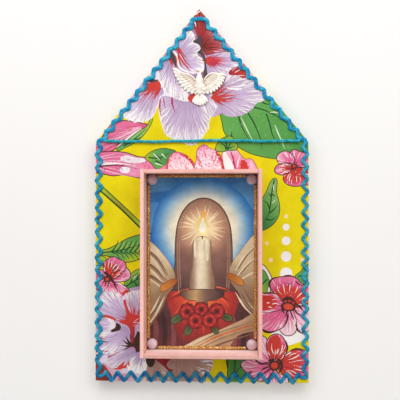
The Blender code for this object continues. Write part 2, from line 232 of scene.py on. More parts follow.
def signed_area(outline):
    x, z = outline[:, 0], outline[:, 1]
    return 0.5 * np.sum(x * np.roll(z, -1) - z * np.roll(x, -1))


def line_normals(line, closed):
    """Unit normals to the right of the way the line runs."""
    if closed:
        along = np.roll(line, -1, 0) - np.roll(line, 1, 0)
    else:
        along = np.gradient(line, axis=0)
    along = along / np.maximum(np.linalg.norm(along, axis=1), 1e-9)[:, None]
    return np.column_stack([along[:, 1], -along[:, 0]])


def grown(outline, distance):
    if signed_area(outline) < 0:
        outline = outline[::-1]
    return outline + line_normals(outline, True) * distance


def turns(count):
    """The angles of a full turn in equal steps."""
    return np.arange(count) * 2 * math.pi / count


def circle(centre, radius, sides=14, squeeze=1.0, turn=0.0):
    angles = turns(sides)
    x, z = radius * np.cos(angles), radius * squeeze * np.sin(angles)
    spin = math.radians(turn)
    return np.column_stack([
        centre[0] + x * math.cos(spin) - z * math.sin(spin),
        centre[1] + x * math.sin(spin) + z * math.cos(spin),
    ])


def inside(points, outline):
    """Which points lie inside the closed outline."""
    x, z = points[:, 0, None], points[:, 1, None]
    ax, az = outline[:, 0], outline[:, 1]
    bx, bz = np.roll(ax, -1), np.roll(az, -1)
    crosses = (az > z) != (bz > z)
    rise = np.where(bz == az, 1e-9, bz - az)
    return (np.sum(crosses & (x < ax + (z - az) * (bx - ax) / rise), axis=1) % 2) == 1


def blend_stops(stops, position):
    places = [stop[0] for stop in stops]
    colours = np.array([stop[1] for stop in stops], float)
    return np.column_stack([np.interp(position, places, colours[:, band]) for band in range(3)])


def flat(colour):
    return lambda points: np.tile(np.asarray(colour, float), (len(points), 1))


def fan(base, reach, stops):
    """Colour by distance from a base point."""
    return lambda points: blend_stops(
        stops, np.linalg.norm(points - np.asarray(base, float), axis=1) / reach
    )


def slope(start, end, stops):
    """Colour along the way from one point to another."""
    start, way = np.asarray(start, float), np.subtract(end, start)
    return lambda points: blend_stops(stops, (points - start) @ way / (way @ way))


class Artwork:
    """Coloured shapes, each over the ones before it."""

    def __init__(self, ground, seed):
        self.ground = ground
        self.outlines = []
        self.paints = []
        self.chance = random.Random(seed)

    def area(self, outline, paint):
        outline = np.asarray(outline, float)
        self.outlines.append(outline if signed_area(outline) > 0 else outline[::-1])
        self.paints.append(paint)

    def shape(self, points, paint, rim=None, rim_width=0.35):
        outline = smooth(points)
        if rim is not None:
            self.area(grown(outline, rim_width), flat(rim))
        self.area(outline, paint)
        return outline

    def stroke(self, points, width, colour, ends=(0.7, 0.1)):
        """A line that is widest in its first half and thins towards its ends."""
        line = smooth(points, closed=False, step=STROKE_STEP)
        length = np.linalg.norm(np.diff(line, axis=0), axis=1).sum()
        place = np.linspace(0, 1, len(line))
        half = 0.5 * min(width, 0.5 * length) * np.interp(place, [0, 0.35, 1], [ends[0], 1, ends[1]])
        side = line_normals(line, False) * half[:, None]
        self.area(np.vstack([line + side, (line - side)[::-1]]), flat(colour))

    def rays(self, outline, base, colour, count, start, end, width, beyond=0.5):
        """Streaks from a base towards the part of an outline that lies beyond a share of its reach."""
        base = np.asarray(base, float)
        lengths = np.linalg.norm(outline - base, axis=1)
        far = outline[lengths > beyond * lengths.max()]
        for index in range(count):
            tip = far[int((index + self.chance.uniform(0.15, 0.85)) * len(far) / count)]
            way = tip - base
            first = start + self.chance.uniform(-0.05, 0.05)
            last = end + self.chance.uniform(-0.12, 0.06)
            bend = np.array([way[1], -way[0]]) * self.chance.uniform(-0.05, 0.05)
            middle = base + way * (first + last) / 2 + bend
            self.stroke([base + way * first, middle, base + way * last],
                        width * self.chance.uniform(0.6, 1.25), colour)

    def petal(self, points, base, stops, streaks=(), rim=OUTLINE, rim_width=0.35):
        outline = smooth(points)
        reach = np.linalg.norm(outline - np.asarray(base, float), axis=1).max()
        if rim is not None:
            self.area(grown(outline, rim_width), flat(rim))
        self.area(outline, fan(base, reach, stops))
        for colour, count, start, end, width in streaks:
            self.rays(outline, base, colour, count, start, end, width)
        return outline

    def speckles(self, points, colour, count, size):
        outline = smooth(points)
        low, high = outline.min(axis=0), outline.max(axis=0)
        made = 0
        while made < count:
            spot = np.array([self.chance.uniform(low[0], high[0]), self.chance.uniform(low[1], high[1])])
            if inside(spot[None], outline)[0]:
                turn = self.chance.uniform(0, 180)
                self.area(circle(spot, size * self.chance.uniform(0.5, 1.2), 6, 0.6, turn), flat(colour))
                made += 1

    def leaf(self, points, veins, paint, rim=GREEN_DARK, rim_width=0.4, gleams=()):
        self.shape(points, paint, rim, rim_width)
        for line in veins:
            self.stroke(line, 0.75, GREEN_DARK, (1.0, 0.3))
        for line in gleams:
            self.stroke(line, 0.8, GLEAM, (0.4, 0.3))

    def sprig(self, foot, tip, belly, width, paints, rim=GREEN_DARK):
        """A leaf from foot to tip with one vein, widest at the belly's share of its length."""
        foot, tip = np.array(foot, float), np.array(tip, float)
        across = np.array([foot[1] - tip[1], tip[0] - foot[0]]) * width
        middle = foot * (1 - belly) + tip * belly
        self.leaf([foot, middle + across, tip, middle - across], [[foot, (foot + tip) / 2, tip]],
                  slope(foot, tip, [(0, paints[0]), (1, paints[1])]), rim)

    def colours(self, shape, points):
        if shape < 0:
            return self.ground(points)
        return self.paints[shape](points)


def add_object(name, data):
    made = bpy.data.objects.new(name, data)
    bpy.context.scene.collection.objects.link(made)
    return made


def screen_to_light(colours):
    """Linear light from screen colours of 0 to 255."""
    value = np.clip(np.asarray(colours, float) / 255, 0, 1)
    return np.where(value <= 0.04045, value / 12.92, ((value + 0.055) / 1.055) ** 2.4)


def showing(outlines):
    """Places in the list of the outlines that no later one covers."""
    low = np.array([outline.min(axis=0) for outline in outlines])
    high = np.array([outline.max(axis=0) for outline in outlines])
    kept = []
    for index, outline in enumerate(outlines):
        wider = (low[index + 1:] <= low[index]) & (high[index + 1:] >= high[index])
        later = np.flatnonzero(wider.all(axis=1)) + index + 1
        if not any(inside(outline, outlines[over]).all() for over in later):
            kept.append(index)
    return kept


def tessellate(art, regions, guides, step):
    """Points and triangles of the regions, cut along every shape that shows, and each one's topmost shape."""
    kept = showing(art.outlines)
    points, faces, edges = [], [], []
    for outline in regions:
        faces.append(list(range(len(points), len(points) + len(outline))))
        points.extend(outline)
    for outline in [*(art.outlines[index] for index in kept), *guides]:
        first, count = len(points), len(outline)
        points.extend(outline)
        edges.extend((first + index, first + (index + 1) % count) for index in range(count))
    whole = np.vstack(regions)
    low, high = whole.min(axis=0), whole.max(axis=0)
    columns = np.arange(low[0] + step / 2, high[0], step)
    rows = np.arange(low[1] + step / 2, high[1], step)
    points.extend(np.stack(np.meshgrid(columns, rows), axis=-1).reshape(-1, 2))
    found = delaunay_2d_cdt([Vector(point) for point in points], edges, faces, 0, 1e-5, True)
    corners = np.array([tuple(point) for point in found[0]])
    triangles = np.array([triangle for triangle, origins in zip(found[2], found[5]) if origins])
    middles = corners[triangles].mean(axis=1)
    shapes = np.full(len(triangles), -1)
    for index in kept:
        outline = art.outlines[index]
        low, high = outline.min(axis=0), outline.max(axis=0)
        near = np.flatnonzero(((middles > low) & (middles < high)).all(axis=1))
        shapes[near[inside(middles[near], outline)]] = index
    return corners, triangles, shapes


def printed_mesh(name, art, regions, guides, step, place):
    """A sheet with the artwork as corner colours; place turns flat millimetres into metres."""
    corners, triangles, shapes = tessellate(art, regions, guides, step)
    used, triangles = np.unique(triangles, return_inverse=True)
    triangles = triangles.reshape(-1, 3)
    corners = corners[used]
    mesh = bpy.data.meshes.new(name)
    mesh.from_pydata([place(point) for point in corners], [], triangles.tolist())
    flat_corners = corners[triangles.reshape(-1)]
    owner = np.repeat(shapes, 3)
    colours = np.ones((len(owner), 4))
    order = np.argsort(owner, kind="stable")
    for group in np.split(order, np.flatnonzero(np.diff(owner[order])) + 1):
        colours[group, :3] = screen_to_light(art.colours(owner[group[0]], flat_corners[group]))
    ink = mesh.color_attributes.new("print", "FLOAT_COLOR", "CORNER")
    ink.data.foreach_set("color", colours.reshape(-1))
    chart = mesh.uv_layers.new(name="OFBake")
    low, high = corners.min(axis=0), corners.max(axis=0)
    chart.data.foreach_set("uv", ((flat_corners - low) / (high - low).max()).reshape(-1))
    mesh.polygons.foreach_set("use_smooth", np.ones(len(triangles), bool))
    return add_object(name, mesh)


# The cloth's print

def lilac_petal(art, points, base, red=(8, 0.45), fringe=(18, 0.6), tip=WHITE, rim=None,
                inks=(LILAC_DEEP, LILAC, LILAC_PALE), white=0.87, edge=0.0):
    """A lilac petal: red at its foot, strokes in from its edge, and white past a share of its reach."""
    deep, middle, pale = inks
    outline = smooth(points)
    base = np.array(base, float)
    reach = np.linalg.norm(outline - base, axis=1).max()
    if rim is not None:
        art.area(grown(outline, 0.3), flat(rim))
    if edge:
        art.area(outline, flat(tip))
    stops = [(0, deep), (0.35, middle), (white - 0.15, middle), (white, pale), (white + 0.08, tip)]
    art.area(grown(outline, -edge), fan(base, reach, stops))
    for colour, count, start, end, width, beyond in (
        (middle, 14, white - 0.12, white + 0.1, 0.6, 0.65), (deep, 14, 0.3, 0.85, 0.3, 0.5),
        (pale, 14, 0.95, 0.45, 0.5, 0.5), (pale, fringe[0], 0.995, fringe[1], 0.8, 0.5),
        (tip, fringe[0], 0.995, fringe[1] + 0.05, 0.8, 0.65), (HATCH, 9, 0.96, 0.76, 0.28, 0.65),
    ):
        art.rays(outline, base, colour, count, start, end, width, beyond)
    if red[0]:
        art.rays(outline, base, RED_DEEP, red[0], 0.02, red[1] * 0.75, 1.1)
        art.rays(outline, base, RED, red[0] + 2, 0.0, red[1], 1.0)


def draw_gable_left(art):
    """The ground and the left petals of the large lilac flower in the gable, which goes over the roof."""
    art.shape(
        [(-26, 186), (-16, 196), (-9, 206), (-1, 214), (8, 208), (18, 194), (27, 180), (26, 168), (14, 152),
         (4, 150), (-8, 156), (-22, 160), (-34, 167)],
        slope(
            (-20, 180), (20, 186),
            [(0, LILAC_PALE), (0.4, LILAC_DEEP), (0.6, (150, 84, 90)), (1, (186, 120, 140))]
        )
    )
    lilac_petal(
        art,
        [(-40, 172), (-44, 163), (-47, 156), (-45.4, 150.4), (-41, 147.6), (-36, 146.4), (-31, 147),
         (-27.5, 149.5), (-25, 154), (-23, 159), (-20.5, 163), (-22.5, 168), (-27, 173)],
        (-23.5, 169), (14, 0.56), (16, 0.7), white=0.76, edge=0.7
    )
    art.stroke([(-31.5, 171.6), (-28, 169.6), (-24.5, 170.6)], 2.2, SHADE, (0.4, 0.6))
    lilac_petal(
        art,
        [(-24, 186), (-19, 188), (-14.5, 182.5), (-14, 177), (-12.5, 171), (-10, 165), (-7, 160),
         (-8.6, 156.6), (-13, 158), (-18.5, 160.8), (-21.5, 165), (-24.4, 171.5), (-25, 179)],
        (-16.5, 185), (9, 0.34), (20, 0.62), white=0.74, edge=0.9
    )
    art.shape([(-29.5, 172), (-27, 176), (-23.8, 174.4), (-24.2, 170.8), (-27, 170.6)], flat(LILAC_WHITE))
    art.shape([(-19.4, 186.6), (-15.6, 185), (-13.8, 177.2), (-15.2, 178.6), (-17, 182)], flat(SHADE))


def draw_gable_lower(art):
    """The lower petals of the gable flower."""
    lilac_petal(
        art,
        [(-23.6, 160.5), (-20, 161.8), (-14, 159.8), (-8, 158.4), (-2, 160.5), (3, 161), (6, 156),
         (5.4, 150), (4, 144), (1, 138), (-3, 134), (-7, 133.2), (-12, 135.6), (-17, 137.2), (-20.5, 140),
         (-22.8, 146), (-24, 153)],
        (-8, 163), (0, 0), (22, 0.7), white=0.84, edge=0.5
    )
    art.stroke([(-16.6, 160.4), (-16.3, 156), (-14.7, 151.8)], 1.2, CRIMSON)
    art.stroke([(-23.2, 159.5), (-23.6, 154.5), (-22.6, 149.5)], 1.0, CRIMSON)
    art.stroke([(-21.4, 160), (-21, 156.5), (-20.2, 153.5)], 0.7, CRIMSON)
    art.shape([(2, 160), (12, 161), (14, 154), (10, 150.4), (5, 149.6)], flat(LILAC))
    lilac_petal(
        art, [(-5, 158), (1, 161.6), (8.4, 161), (9.4, 156), (7.4, 151.4), (5, 148.6), (3, 150), (-1, 155)],
        (-1, 163), (0, 0), (9, 0.5)
    )


def draw_gable_middle(art):
    """The middle petal of the gable flower, with red strokes."""
    lilac_petal(
        art,
        [(-9, 200), (-14, 195.4), (-17, 189), (-14, 183), (-13, 177.5), (-9, 174.6), (-4, 173.6),
         (0.6, 174.6), (1.8, 178), (0.6, 182), (-2.4, 184.6), (0.2, 187), (-1.4, 190), (-4.4, 191.6),
         (-3.6, 194.6), (-6, 198)],
        (-14.5, 182), (0, 0), (20, 0.66), white=0.78, edge=1.0
    )
    for line, width, colour in (
        ([(-13.6, 188.4), (-11.6, 182.8), (-8.4, 177.8), (-6.2, 175.2)], 1.9, RED),
        ([(-12.6, 186.6), (-9.4, 181), (-5, 176.4)], 1.2, CRIMSON),
        ([(-13.2, 184), (-12.2, 180), (-10.4, 176.6)], 0.9, RED),
        ([(-12.8, 188.6), (-9.8, 184), (-6.8, 180.6)], 0.7, RED),
        ([(-12.4, 185), (-9.8, 180.6), (-7.4, 177.8)], 0.4, WHITE)
    ):
        art.stroke(line, width, colour, (0.9, 0.1))


def draw_gable_throat(art):
    """The petals round the throat of the gable flower, and the dark throat itself."""
    lilac_petal(
        art,
        [(2.2, 184), (8, 186), (14, 186), (19.5, 184), (23.5, 181), (22.4, 177.4), (18, 175.4), (12, 173.4),
         (6, 173.2), (2.6, 174.4), (1.6, 179.5)],
        (1.4, 181), (14, 0.62), (14, 0.78)
    )
    art.rays(smooth([(10, 186), (18, 184), (20, 180), (12, 175)]), (2, 181), CRIMSON, 7, 0.2, 0.8, 0.4)
    upper = smooth(
        [(0.4, 197), (3, 201), (9, 200.4), (14, 194.4), (18.4, 188), (16, 185.6), (9, 185.2), (3, 184.2),
         (0.6, 187), (-0.6, 191.5)]
    )
    throat = np.array([-0.4, 188.5])
    art.area(
        upper,
        fan(
            throat, 19,
            [(0, (104, 50, 52)), (0.3, (166, 70, 72)), (0.58, (180, 96, 104)), (0.74, (196, 146, 176)),
             (0.9, LILAC), (1, LILAC_PALE)]
        )
    )
    art.rays(upper, throat, LILAC_PALE, 14, 0.98, 0.62, 0.6)
    art.rays(upper, throat, DUSTY_RED, 9, 0.15, 0.78, 0.7)
    art.rays(upper, throat, RED_DEEP, 16, 0.1, 0.74, 0.6)
    art.rays(upper, throat, OUTLINE, 16, 0.1, 0.58, 0.32)
    art.stroke([(2.6, 184), (8, 185.4), (15, 185.8)], 0.6, RED_DEEP, (1, 0.2))
    art.shape(
        [(-7, 206), (-1, 214), (6, 206), (3.8, 199.6), (1, 194.6), (-1.4, 194), (-3.6, 198), (-5, 200.6)],
        slope((-3, 206), (1, 195), [(0, DUSTY_RED), (1, RED_DEEP)])
    )
    for line in (
        [(-3, 205), (-2.4, 201), (-1, 197)], [(0.6, 206), (0.4, 202), (0.8, 198)],
        [(2.8, 203), (2.4, 200), (2, 198)], [(-4.4, 206), (-3.6, 202.6), (-2.6, 199)],
        [(-1, 208), (-1, 204), (-0.4, 200)], [(1.8, 207), (1.6, 203), (1.6, 200)]
    ):
        art.stroke(line, 0.6, OUTLINE)
    for line in (
        [(-3.4, 207), (-1.6, 208.4), (1, 210)], [(1.6, 204.6), (3, 203), (3.2, 201)],
        [(-4, 204), (-3.4, 202), (-3, 200)]
    ):
        art.stroke(line, 0.9, LILAC_WHITE)
    art.shape([(2.4, 205), (6, 204), (8, 200), (5, 198.6), (3.8, 200.6)], flat(LILAC_WHITE))
    art.shape(
        [(-4.8, 191.9), (-2.4, 193), (-1.4, 195.6), (0.2, 193), (0, 188.6), (1, 185.4), (2.2, 182.6),
         (2.8, 178), (3.3, 174), (2.4, 170), (1.2, 172.6), (1.7, 177.4), (1.1, 182), (-0.8, 184.8),
         (-2.4, 185.4), (-0.4, 187.6), (-1.6, 190)],
        flat(SHADE)
    )


def draw_gable_right(art):
    """The right petals of the gable flower."""
    lilac_petal(
        art,
        [(12, 172.6), (16, 174.6), (21, 174.4), (27, 175), (31, 170), (35, 166), (38.6, 161.6), (35, 158.6),
         (31, 156.4), (28, 152.8), (24, 150.4), (19, 149.2), (14, 149.6), (11.6, 151.6), (9.4, 155.6),
         (7, 158.4), (7, 161.8), (9, 163.6), (12, 165.6), (13.4, 169)],
        (6, 160), (12, 0.5), (18, 0.66)
    )
    art.rays(smooth([(16, 174), (22, 173), (26, 168), (20, 164)]), (12, 166), WHITE, 9, 0.95, 0.3, 0.9)
    art.shape([(15.4, 173.4), (19, 177), (23.4, 177), (26.4, 172), (23.6, 170.8), (20, 172.4)],
              slope((15, 173), (25, 172), [(0, RED_DEEP), (1, RED)]))
    art.rays(smooth([(15, 173), (20, 178), (26, 174), (24, 170)]), (14, 172), LILAC_PALE, 4, 0.5, 0.95, 0.5)
    art.shape([(-7.6, 160.6), (-3, 162), (-3.2, 158.4), (-6, 157.4)], flat(RED))


def draw_roof_leaf(art):
    """The large leaf at the right end of the eaves."""
    big_leaf = [
        (11.4, 151.4), (11.8, 146), (13, 140.6), (15.6, 137), (19.6, 133.2), (24.6, 130), (30, 127.8),
        (36, 126.4), (43, 125.6), (52, 127), (66, 132), (72, 142), (60, 156), (46, 162), (34, 162),
        (22, 156)
    ]
    veins = [
        [(20.6, 150.5), (22.8, 143.6), (25.6, 138.4), (27.2, 136.2)],
        [(26, 151.5), (29, 146.6), (32, 140), (33.6, 135), (34, 130.6)],
        [(28.6, 154.6), (34, 153.2), (40, 150.6), (46, 147), (54, 138.4)],
        [(36.4, 150.8), (38.4, 145), (40, 138.6), (43.4, 132.6)],
        [(45, 149), (50, 145), (53, 140), (54.4, 135.6)],
        [(33, 158), (37, 156), (41, 157)],
    ]
    gleams = [
        [(22.2, 149), (24.6, 144), (28, 137.2), (29.4, 134)],
        [(41.2, 144.4), (43, 140), (45.6, 134), (46.6, 131)],
        [(38.6, 151.4), (41, 151.6), (43.6, 151)],
    ]
    art.leaf(
        big_leaf, veins,
        slope((12, 140), (60, 140), [(0, GREEN), (0.5, (96, 164, 84)), (1, (78, 146, 72))]), gleams=gleams
    )
    art.speckles(big_leaf, (150, 196, 132), 150, 0.3)
    art.speckles(big_leaf, (70, 132, 66), 110, 0.34)


def draw_roof_bud(art):
    """The bud at the left end of the eaves, with its leaf."""
    art.petal(
        [(-66, 133), (-56.6, 137.4), (-53.6, 142.4), (-50, 145.8), (-46, 147), (-40, 146.8), (-34, 145.6),
         (-30, 144), (-33.6, 142.4), (-38, 139.6), (-43, 137), (-47.4, 134), (-49.6, 131), (-55, 129.6),
         (-66, 128)],
        (-31, 144), [(0, PINK_HOT), (0.2, PINK), (0.8, PINK), (1, PINK_HOT)],
        [(PINK_PALE, 9, 0.15, 0.9, 0.5), (PINK_HOT, 8, 0.3, 0.8, 0.5), (RED, 5, 0.98, 0.6, 0.8)],
        rim_width=0.5
    )
    art.speckles([(-54, 138), (-46, 145), (-36, 145), (-44, 139), (-52, 132)], RED_DEEP, 18, 0.3)
    art.shape(
        [(-48.6, 131.4), (-44.6, 135.6), (-40.4, 138.8), (-34, 142.6), (-37, 139.6), (-42, 135.4),
         (-46, 132.4)],
        flat(WHITE)
    )
    art.leaf(
        [(-48, 130.8), (-44.6, 133.6), (-40.6, 137), (-36, 140.6), (-30.6, 144.2), (-28, 148.4),
         (-28.6, 145.4), (-31.4, 140.8), (-34.6, 137.4), (-38.6, 134.4), (-43, 132.2)],
        [[(-44, 132.8), (-38, 136.6), (-31, 143)], [(-38, 137), (-36, 136.6), (-34, 138)]],
        slope((-48, 131), (-28, 146), [(0, GREEN), (0.6, GREEN_PALE), (1, LIME)]), OUTLINE
    )


def draw_eave_bud(art):
    """The speckled bud below the left end of the eaves, with its leaf."""
    bud = [
        (-68, 130.6), (-58, 129.4), (-49, 129.6), (-42, 128.7), (-36, 126.6), (-31.5, 126), (-28.4, 123.8),
        (-25.4, 120.6), (-27, 117.4), (-33, 115), (-40, 116), (-45, 116.8), (-50, 116.3), (-58, 117.8),
        (-68, 119)
    ]
    art.petal(bud, (-68, 124), [(0, PINK), (0.5, PINK), (0.7, (232, 150, 184)), (1, PINK)],
              [(PINK_HOT, 9, 0.3, 0.85, 0.6), (PINK_PALE, 9, 0.2, 0.95, 0.5)], rim_width=0.55)
    for patch in ([(-46, 125.4), (-43, 127.6), (-37.6, 126.4), (-31.6, 124.8), (-36, 123.2), (-42, 123.6)],
                  [(-46.4, 119.4), (-44.4, 121), (-40.6, 120.4), (-41, 118), (-44.6, 117.6)]):
        art.shape(patch, flat(LILAC_WHITE))
    art.stroke([(-60, 122), (-50, 123.2), (-43, 122.6), (-37, 121.8)], 1.1, WHITE, (1, 0.2))
    art.stroke([(-62, 120.8), (-50, 122), (-44, 121.6), (-36, 120)], 0.7, OUTLINE, (1, 0.2))
    art.speckles([(-58, 128), (-40, 127), (-29, 122), (-32, 117), (-44, 118), (-58, 119)], OUTLINE, 46, 0.36)
    art.speckles([(-48, 127), (-40, 127), (-29, 122), (-32, 117), (-46, 118)], PINK, 40, 0.5)

    art.leaf(
        [(-31.5, 126.2), (-29.4, 128.7), (-26, 130.5), (-21.4, 131.3), (-17.8, 130.8), (-14.4, 129.4),
         (-16.4, 127), (-18.6, 124.4), (-20.4, 122), (-24.6, 119.6), (-28.4, 123.4)],
        [[(-25.6, 127.8), (-24, 126.4), (-22.4, 124.6)], [(-21.6, 127.4), (-20.4, 126), (-19.2, 124.4)],
         [(-26, 124.4), (-24, 123.6), (-22, 122.6)], [(-30, 126.4), (-24, 126), (-18, 129)]],
        slope((-31, 127), (-17, 125), [(0, LIME), (0.3, GREEN), (1, (74, 140, 84))]), OUTLINE,
        gleams=[
            [(-27.4, 128.6), (-25.4, 127), (-23.6, 125)], [(-22.6, 128.6), (-21, 127), (-20, 125.6)],
            [(-26.4, 123.2), (-24, 122.4), (-22, 121.6)]
        ]
    )


def draw_petals_above_box(art):
    """Speckled petals and a small leaf between the eaves and the box."""
    speckled = [(0, PINK_PALE), (0.55, LILAC_WHITE), (0.85, PINK_PALE), (1, PINK)]
    left_petal = [
        (-24, 119), (-20, 121.4), (-18.4, 125.6), (-16.8, 127.9), (-14.4, 129.3), (-11, 128.6), (-8, 127),
        (-5.4, 124.4), (-3.4, 121.4), (-2, 117.5), (-22, 117)
    ]
    middle_petal = [
        (-3, 117.5), (-2.7, 125), (-2.4, 130), (-1, 132.2), (1.5, 133.4), (3.2, 132.6), (4.6, 131.2),
        (6.6, 130.8), (8.6, 130), (10.6, 127), (12.2, 123.4), (13.2, 117.5)
    ]
    art.petal(left_petal, (-10, 112), speckled, [(PINK, 6, 0.5, 0.98, 0.5)], RED_DEEP)
    art.shape([(-25, 117.5), (-22.6, 120.6), (-19.6, 122), (-18.6, 120), (-19, 117.5)], flat(PINK))
    art.stroke([(-11.6, 128.2), (-7.2, 125.8), (-4.2, 122), (-2.6, 118.5)], 1.7, RED, (0.5, 1))
    art.stroke([(-19.6, 119), (-18.6, 124.4), (-16.6, 127.4)], 1.0, RED, (0.6, 0.4))
    art.petal(
        [(12, 117.5), (11.4, 126), (12.4, 129.4), (15, 130.4), (19.8, 130.2), (22, 127.6), (24.6, 125.2),
         (28, 125.2), (30, 122.6), (31.4, 117.5)],
        (18, 112), [(0, PINK_HOT), (0.5, PINK), (1, PINK_PALE)],
        [(WHITE, 9, 0.55, 0.95, 0.7), (RED, 6, 0.4, 0.9, 0.7)], RED_DEEP
    )
    art.petal(middle_petal, (5, 112), speckled, [(PINK, 8, 0.7, 0.99, 0.8)], RED_DEEP)
    art.stroke([(8.2, 129.6), (10.6, 125.6), (12.2, 121), (12.8, 118)], 1.9, RED, (0.5, 1))
    art.shape([(12, 128.4), (13.2, 129.4), (15, 127), (17.2, 123.6), (18.6, 118), (14.2, 118)], flat(WHITE))
    art.stroke([(16.6, 129.6), (18, 125), (19.2, 118.5)], 0.9, CRIMSON, (0.6, 1))
    art.shape([(22.4, 124.6), (24.8, 124.2), (26.2, 121), (25.6, 118), (22.6, 118.4)], flat(RED))
    art.shape([(27.4, 124), (29, 122.4), (29.6, 119), (27.8, 118.6)], flat(PINK_PALE))
    for petal in (left_petal, middle_petal):
        art.speckles(petal, PINK, 90, 0.5)
        art.speckles(petal, RED, 60, 0.34)
        art.speckles(petal, WHITE, 40, 0.4)
    art.leaf(
        [(8.2, 130.8), (9, 133.6), (11, 136.2), (14, 137.8), (17, 138), (18.6, 135.4), (20.2, 133),
         (19.8, 130.8), (15, 130.3), (11, 129.6)],
        [[(14, 130.6), (13, 133), (10.4, 134.6)], [(14.2, 130.8), (14, 134), (13, 136.8)],
         [(14.4, 130.8), (16, 133.4), (17.4, 136)], [(14.6, 130.8), (17, 132), (19, 132.4)]],
        slope((8, 131), (20, 136), [(0, LIME), (0.5, GREEN), (1, LIME)]), OUTLINE
    )
    art.stroke([(16.6, 137.6), (17.2, 139.4), (17, 141)], 0.8, OUTLINE)


def draw_small_flower(art, centre, petals, eye, ring=1.7):
    """Pink petals, each plain, red-footed or pale, round a red eye in a dark ring."""
    centre = np.array(centre, float)
    looks = {
        "pink": (
            [(0, PINK_HOT), (0.4, PINK), (0.8, PINK), (1, PINK_PALE)],
            [(PINK_PALE, 9, 0.97, 0.5, 0.6), (PINK_HOT, 9, 0.3, 0.9, 0.45), (WHITE, 5, 0.95, 0.6, 0.5)]
        ),
        "red": (
            [(0, RED_DEEP), (0.2, RED), (0.62, RED), (0.72, PINK_HOT), (0.82, PINK), (1, PINK)],
            [(WHITE, 8, 0.8, 0.5, 0.55), (RED_DEEP, 8, 0.2, 0.7, 0.4), (PINK_PALE, 7, 0.98, 0.75, 0.5)]
        ),
        "pale": (
            [(0, PINK), (0.5, PINK_PALE), (1, (240, 206, 222))],
            [(PINK, 10, 0.3, 0.95, 0.5), (WHITE, 8, 0.95, 0.5, 0.5), (PINK_HOT, 4, 0.2, 0.7, 0.5)]
        ),
    }
    for look, points in petals:
        stops, streaks = looks[look]
        art.petal(points, centre, stops, streaks, rim_width=0.5)
    for _, points in petals:
        art.speckles(np.asarray(points, float) * 0.8 + centre * 0.2, PINK_PALE, 14, 0.35)
    art.area(circle(centre, eye[0] * ring, 18, eye[1], eye[2]), flat(OUTLINE))
    for turn in range(15, 375, 40):
        way = np.array([math.cos(math.radians(turn)), math.sin(math.radians(turn))])
        length = eye[0] * ring * art.chance.uniform(1.3, 2.0)
        art.stroke(
            [centre + way * eye[0] * 0.8, centre + way * (eye[0] + length) / 2, centre + way * length], 0.7,
            OUTLINE, (1, 0.1)
        )
    art.area(circle(centre, eye[0], 16, eye[1], eye[2]), fan(centre, eye[0], [(0, (214, 84, 58)), (1, RED)]))


def draw_right_column(art):
    """A small flower, leaves and a column of dots to the right of the box."""
    draw_small_flower(
        art, (52, 121.2),
        [("pink", [(49.6, 127.6), (52, 130.4), (55.6, 129), (62, 128), (62, 122), (55, 121), (51.6, 122)]),
         ("pink", [(42.4, 126), (45, 129), (48, 129.4), (51, 127.2), (52, 123), (48, 121.6), (44, 122.8)]),
         ("red",
          [(46, 114.6), (48, 117.6), (51, 120.6), (56, 120), (62, 118), (62, 112), (56.6, 110.6),
           (52, 110.2), (48, 111.4)]),
         ("red",
          [(41.2, 118.8), (43, 121.8), (47, 122.8), (51, 121.6), (49.6, 118.4), (46, 116.6), (43, 117)])],
        (1.0, 0.7, 30)
    )
    art.leaf(
        [(30, 84.6), (35, 85.6), (38.4, 87.4), (41.2, 90), (43.2, 93.6), (43.8, 98), (43.2, 102),
         (42, 106.4), (42.2, 110), (42.4, 112.6), (41.4, 114.4), (39.4, 113), (37.8, 110), (36.4, 106.4),
         (34.4, 103.4), (30, 100)],
        [[(41, 113.8), (39.6, 107), (38.8, 100), (37.8, 94.6), (34, 88)],
         [(38.4, 97), (37, 100.6), (34, 102)], [(38, 95), (40.4, 96.6), (42.6, 99.6)],
         [(39.4, 104), (37.6, 106.4)], [(39.6, 105.6), (41.6, 104.4)], [(36.4, 91.6), (39.4, 91), (42, 93)]],
        slope((32, 92), (44, 104), [(0, (70, 134, 72)), (0.5, GREEN), (1, GREEN_PALE)]), OUTLINE,
        gleams=[[(40.4, 111), (40.6, 107.4)], [(39.8, 100.4), (41.4, 102.4)]]
    )
    for height, radius, colour in (
        (93.2, 1.1, CREAM), (87.1, 1.9, WHITE), (79.4, 2.4, WHITE), (70.7, 2.9, WHITE), (61, 3.5, WHITE)
    ):
        art.area(circle((47.5, height), radius, 22), flat(colour))
    for place, radius in (((36.7, 78), 1.0), ((38.9, 68.7), 1.2), ((56.4, 69), 1.0)):
        art.area(circle(place, radius), flat(CREAM))
    art.shape(
        [(30, 66.6), (34.6, 65.8), (37.4, 62.4), (39.6, 57.4), (38.8, 52.8), (37, 49), (30, 48)],
        flat(WHITE), OUTLINE, 0.45
    )
    art.leaf(
        [(30, 64), (34.6, 63), (36.6, 60.4), (37.8, 57), (37, 52.6), (35.6, 49.6), (30, 49)],
        [[(37, 58), (34.6, 55.6), (32, 52)]],
        slope((33, 50), (38, 62), [(0, LIME), (0.6, GREEN), (1, GREEN)])
    )
    art.leaf(
        [(52.6, 59), (55.4, 62), (58, 65), (64, 68), (64, 56), (57, 55.6)],
        [[(54, 59.4), (58, 61), (62, 63)]], slope((53, 60), (62, 62), [(0, GREEN), (1, (70, 150, 120))]),
        OUTLINE
    )


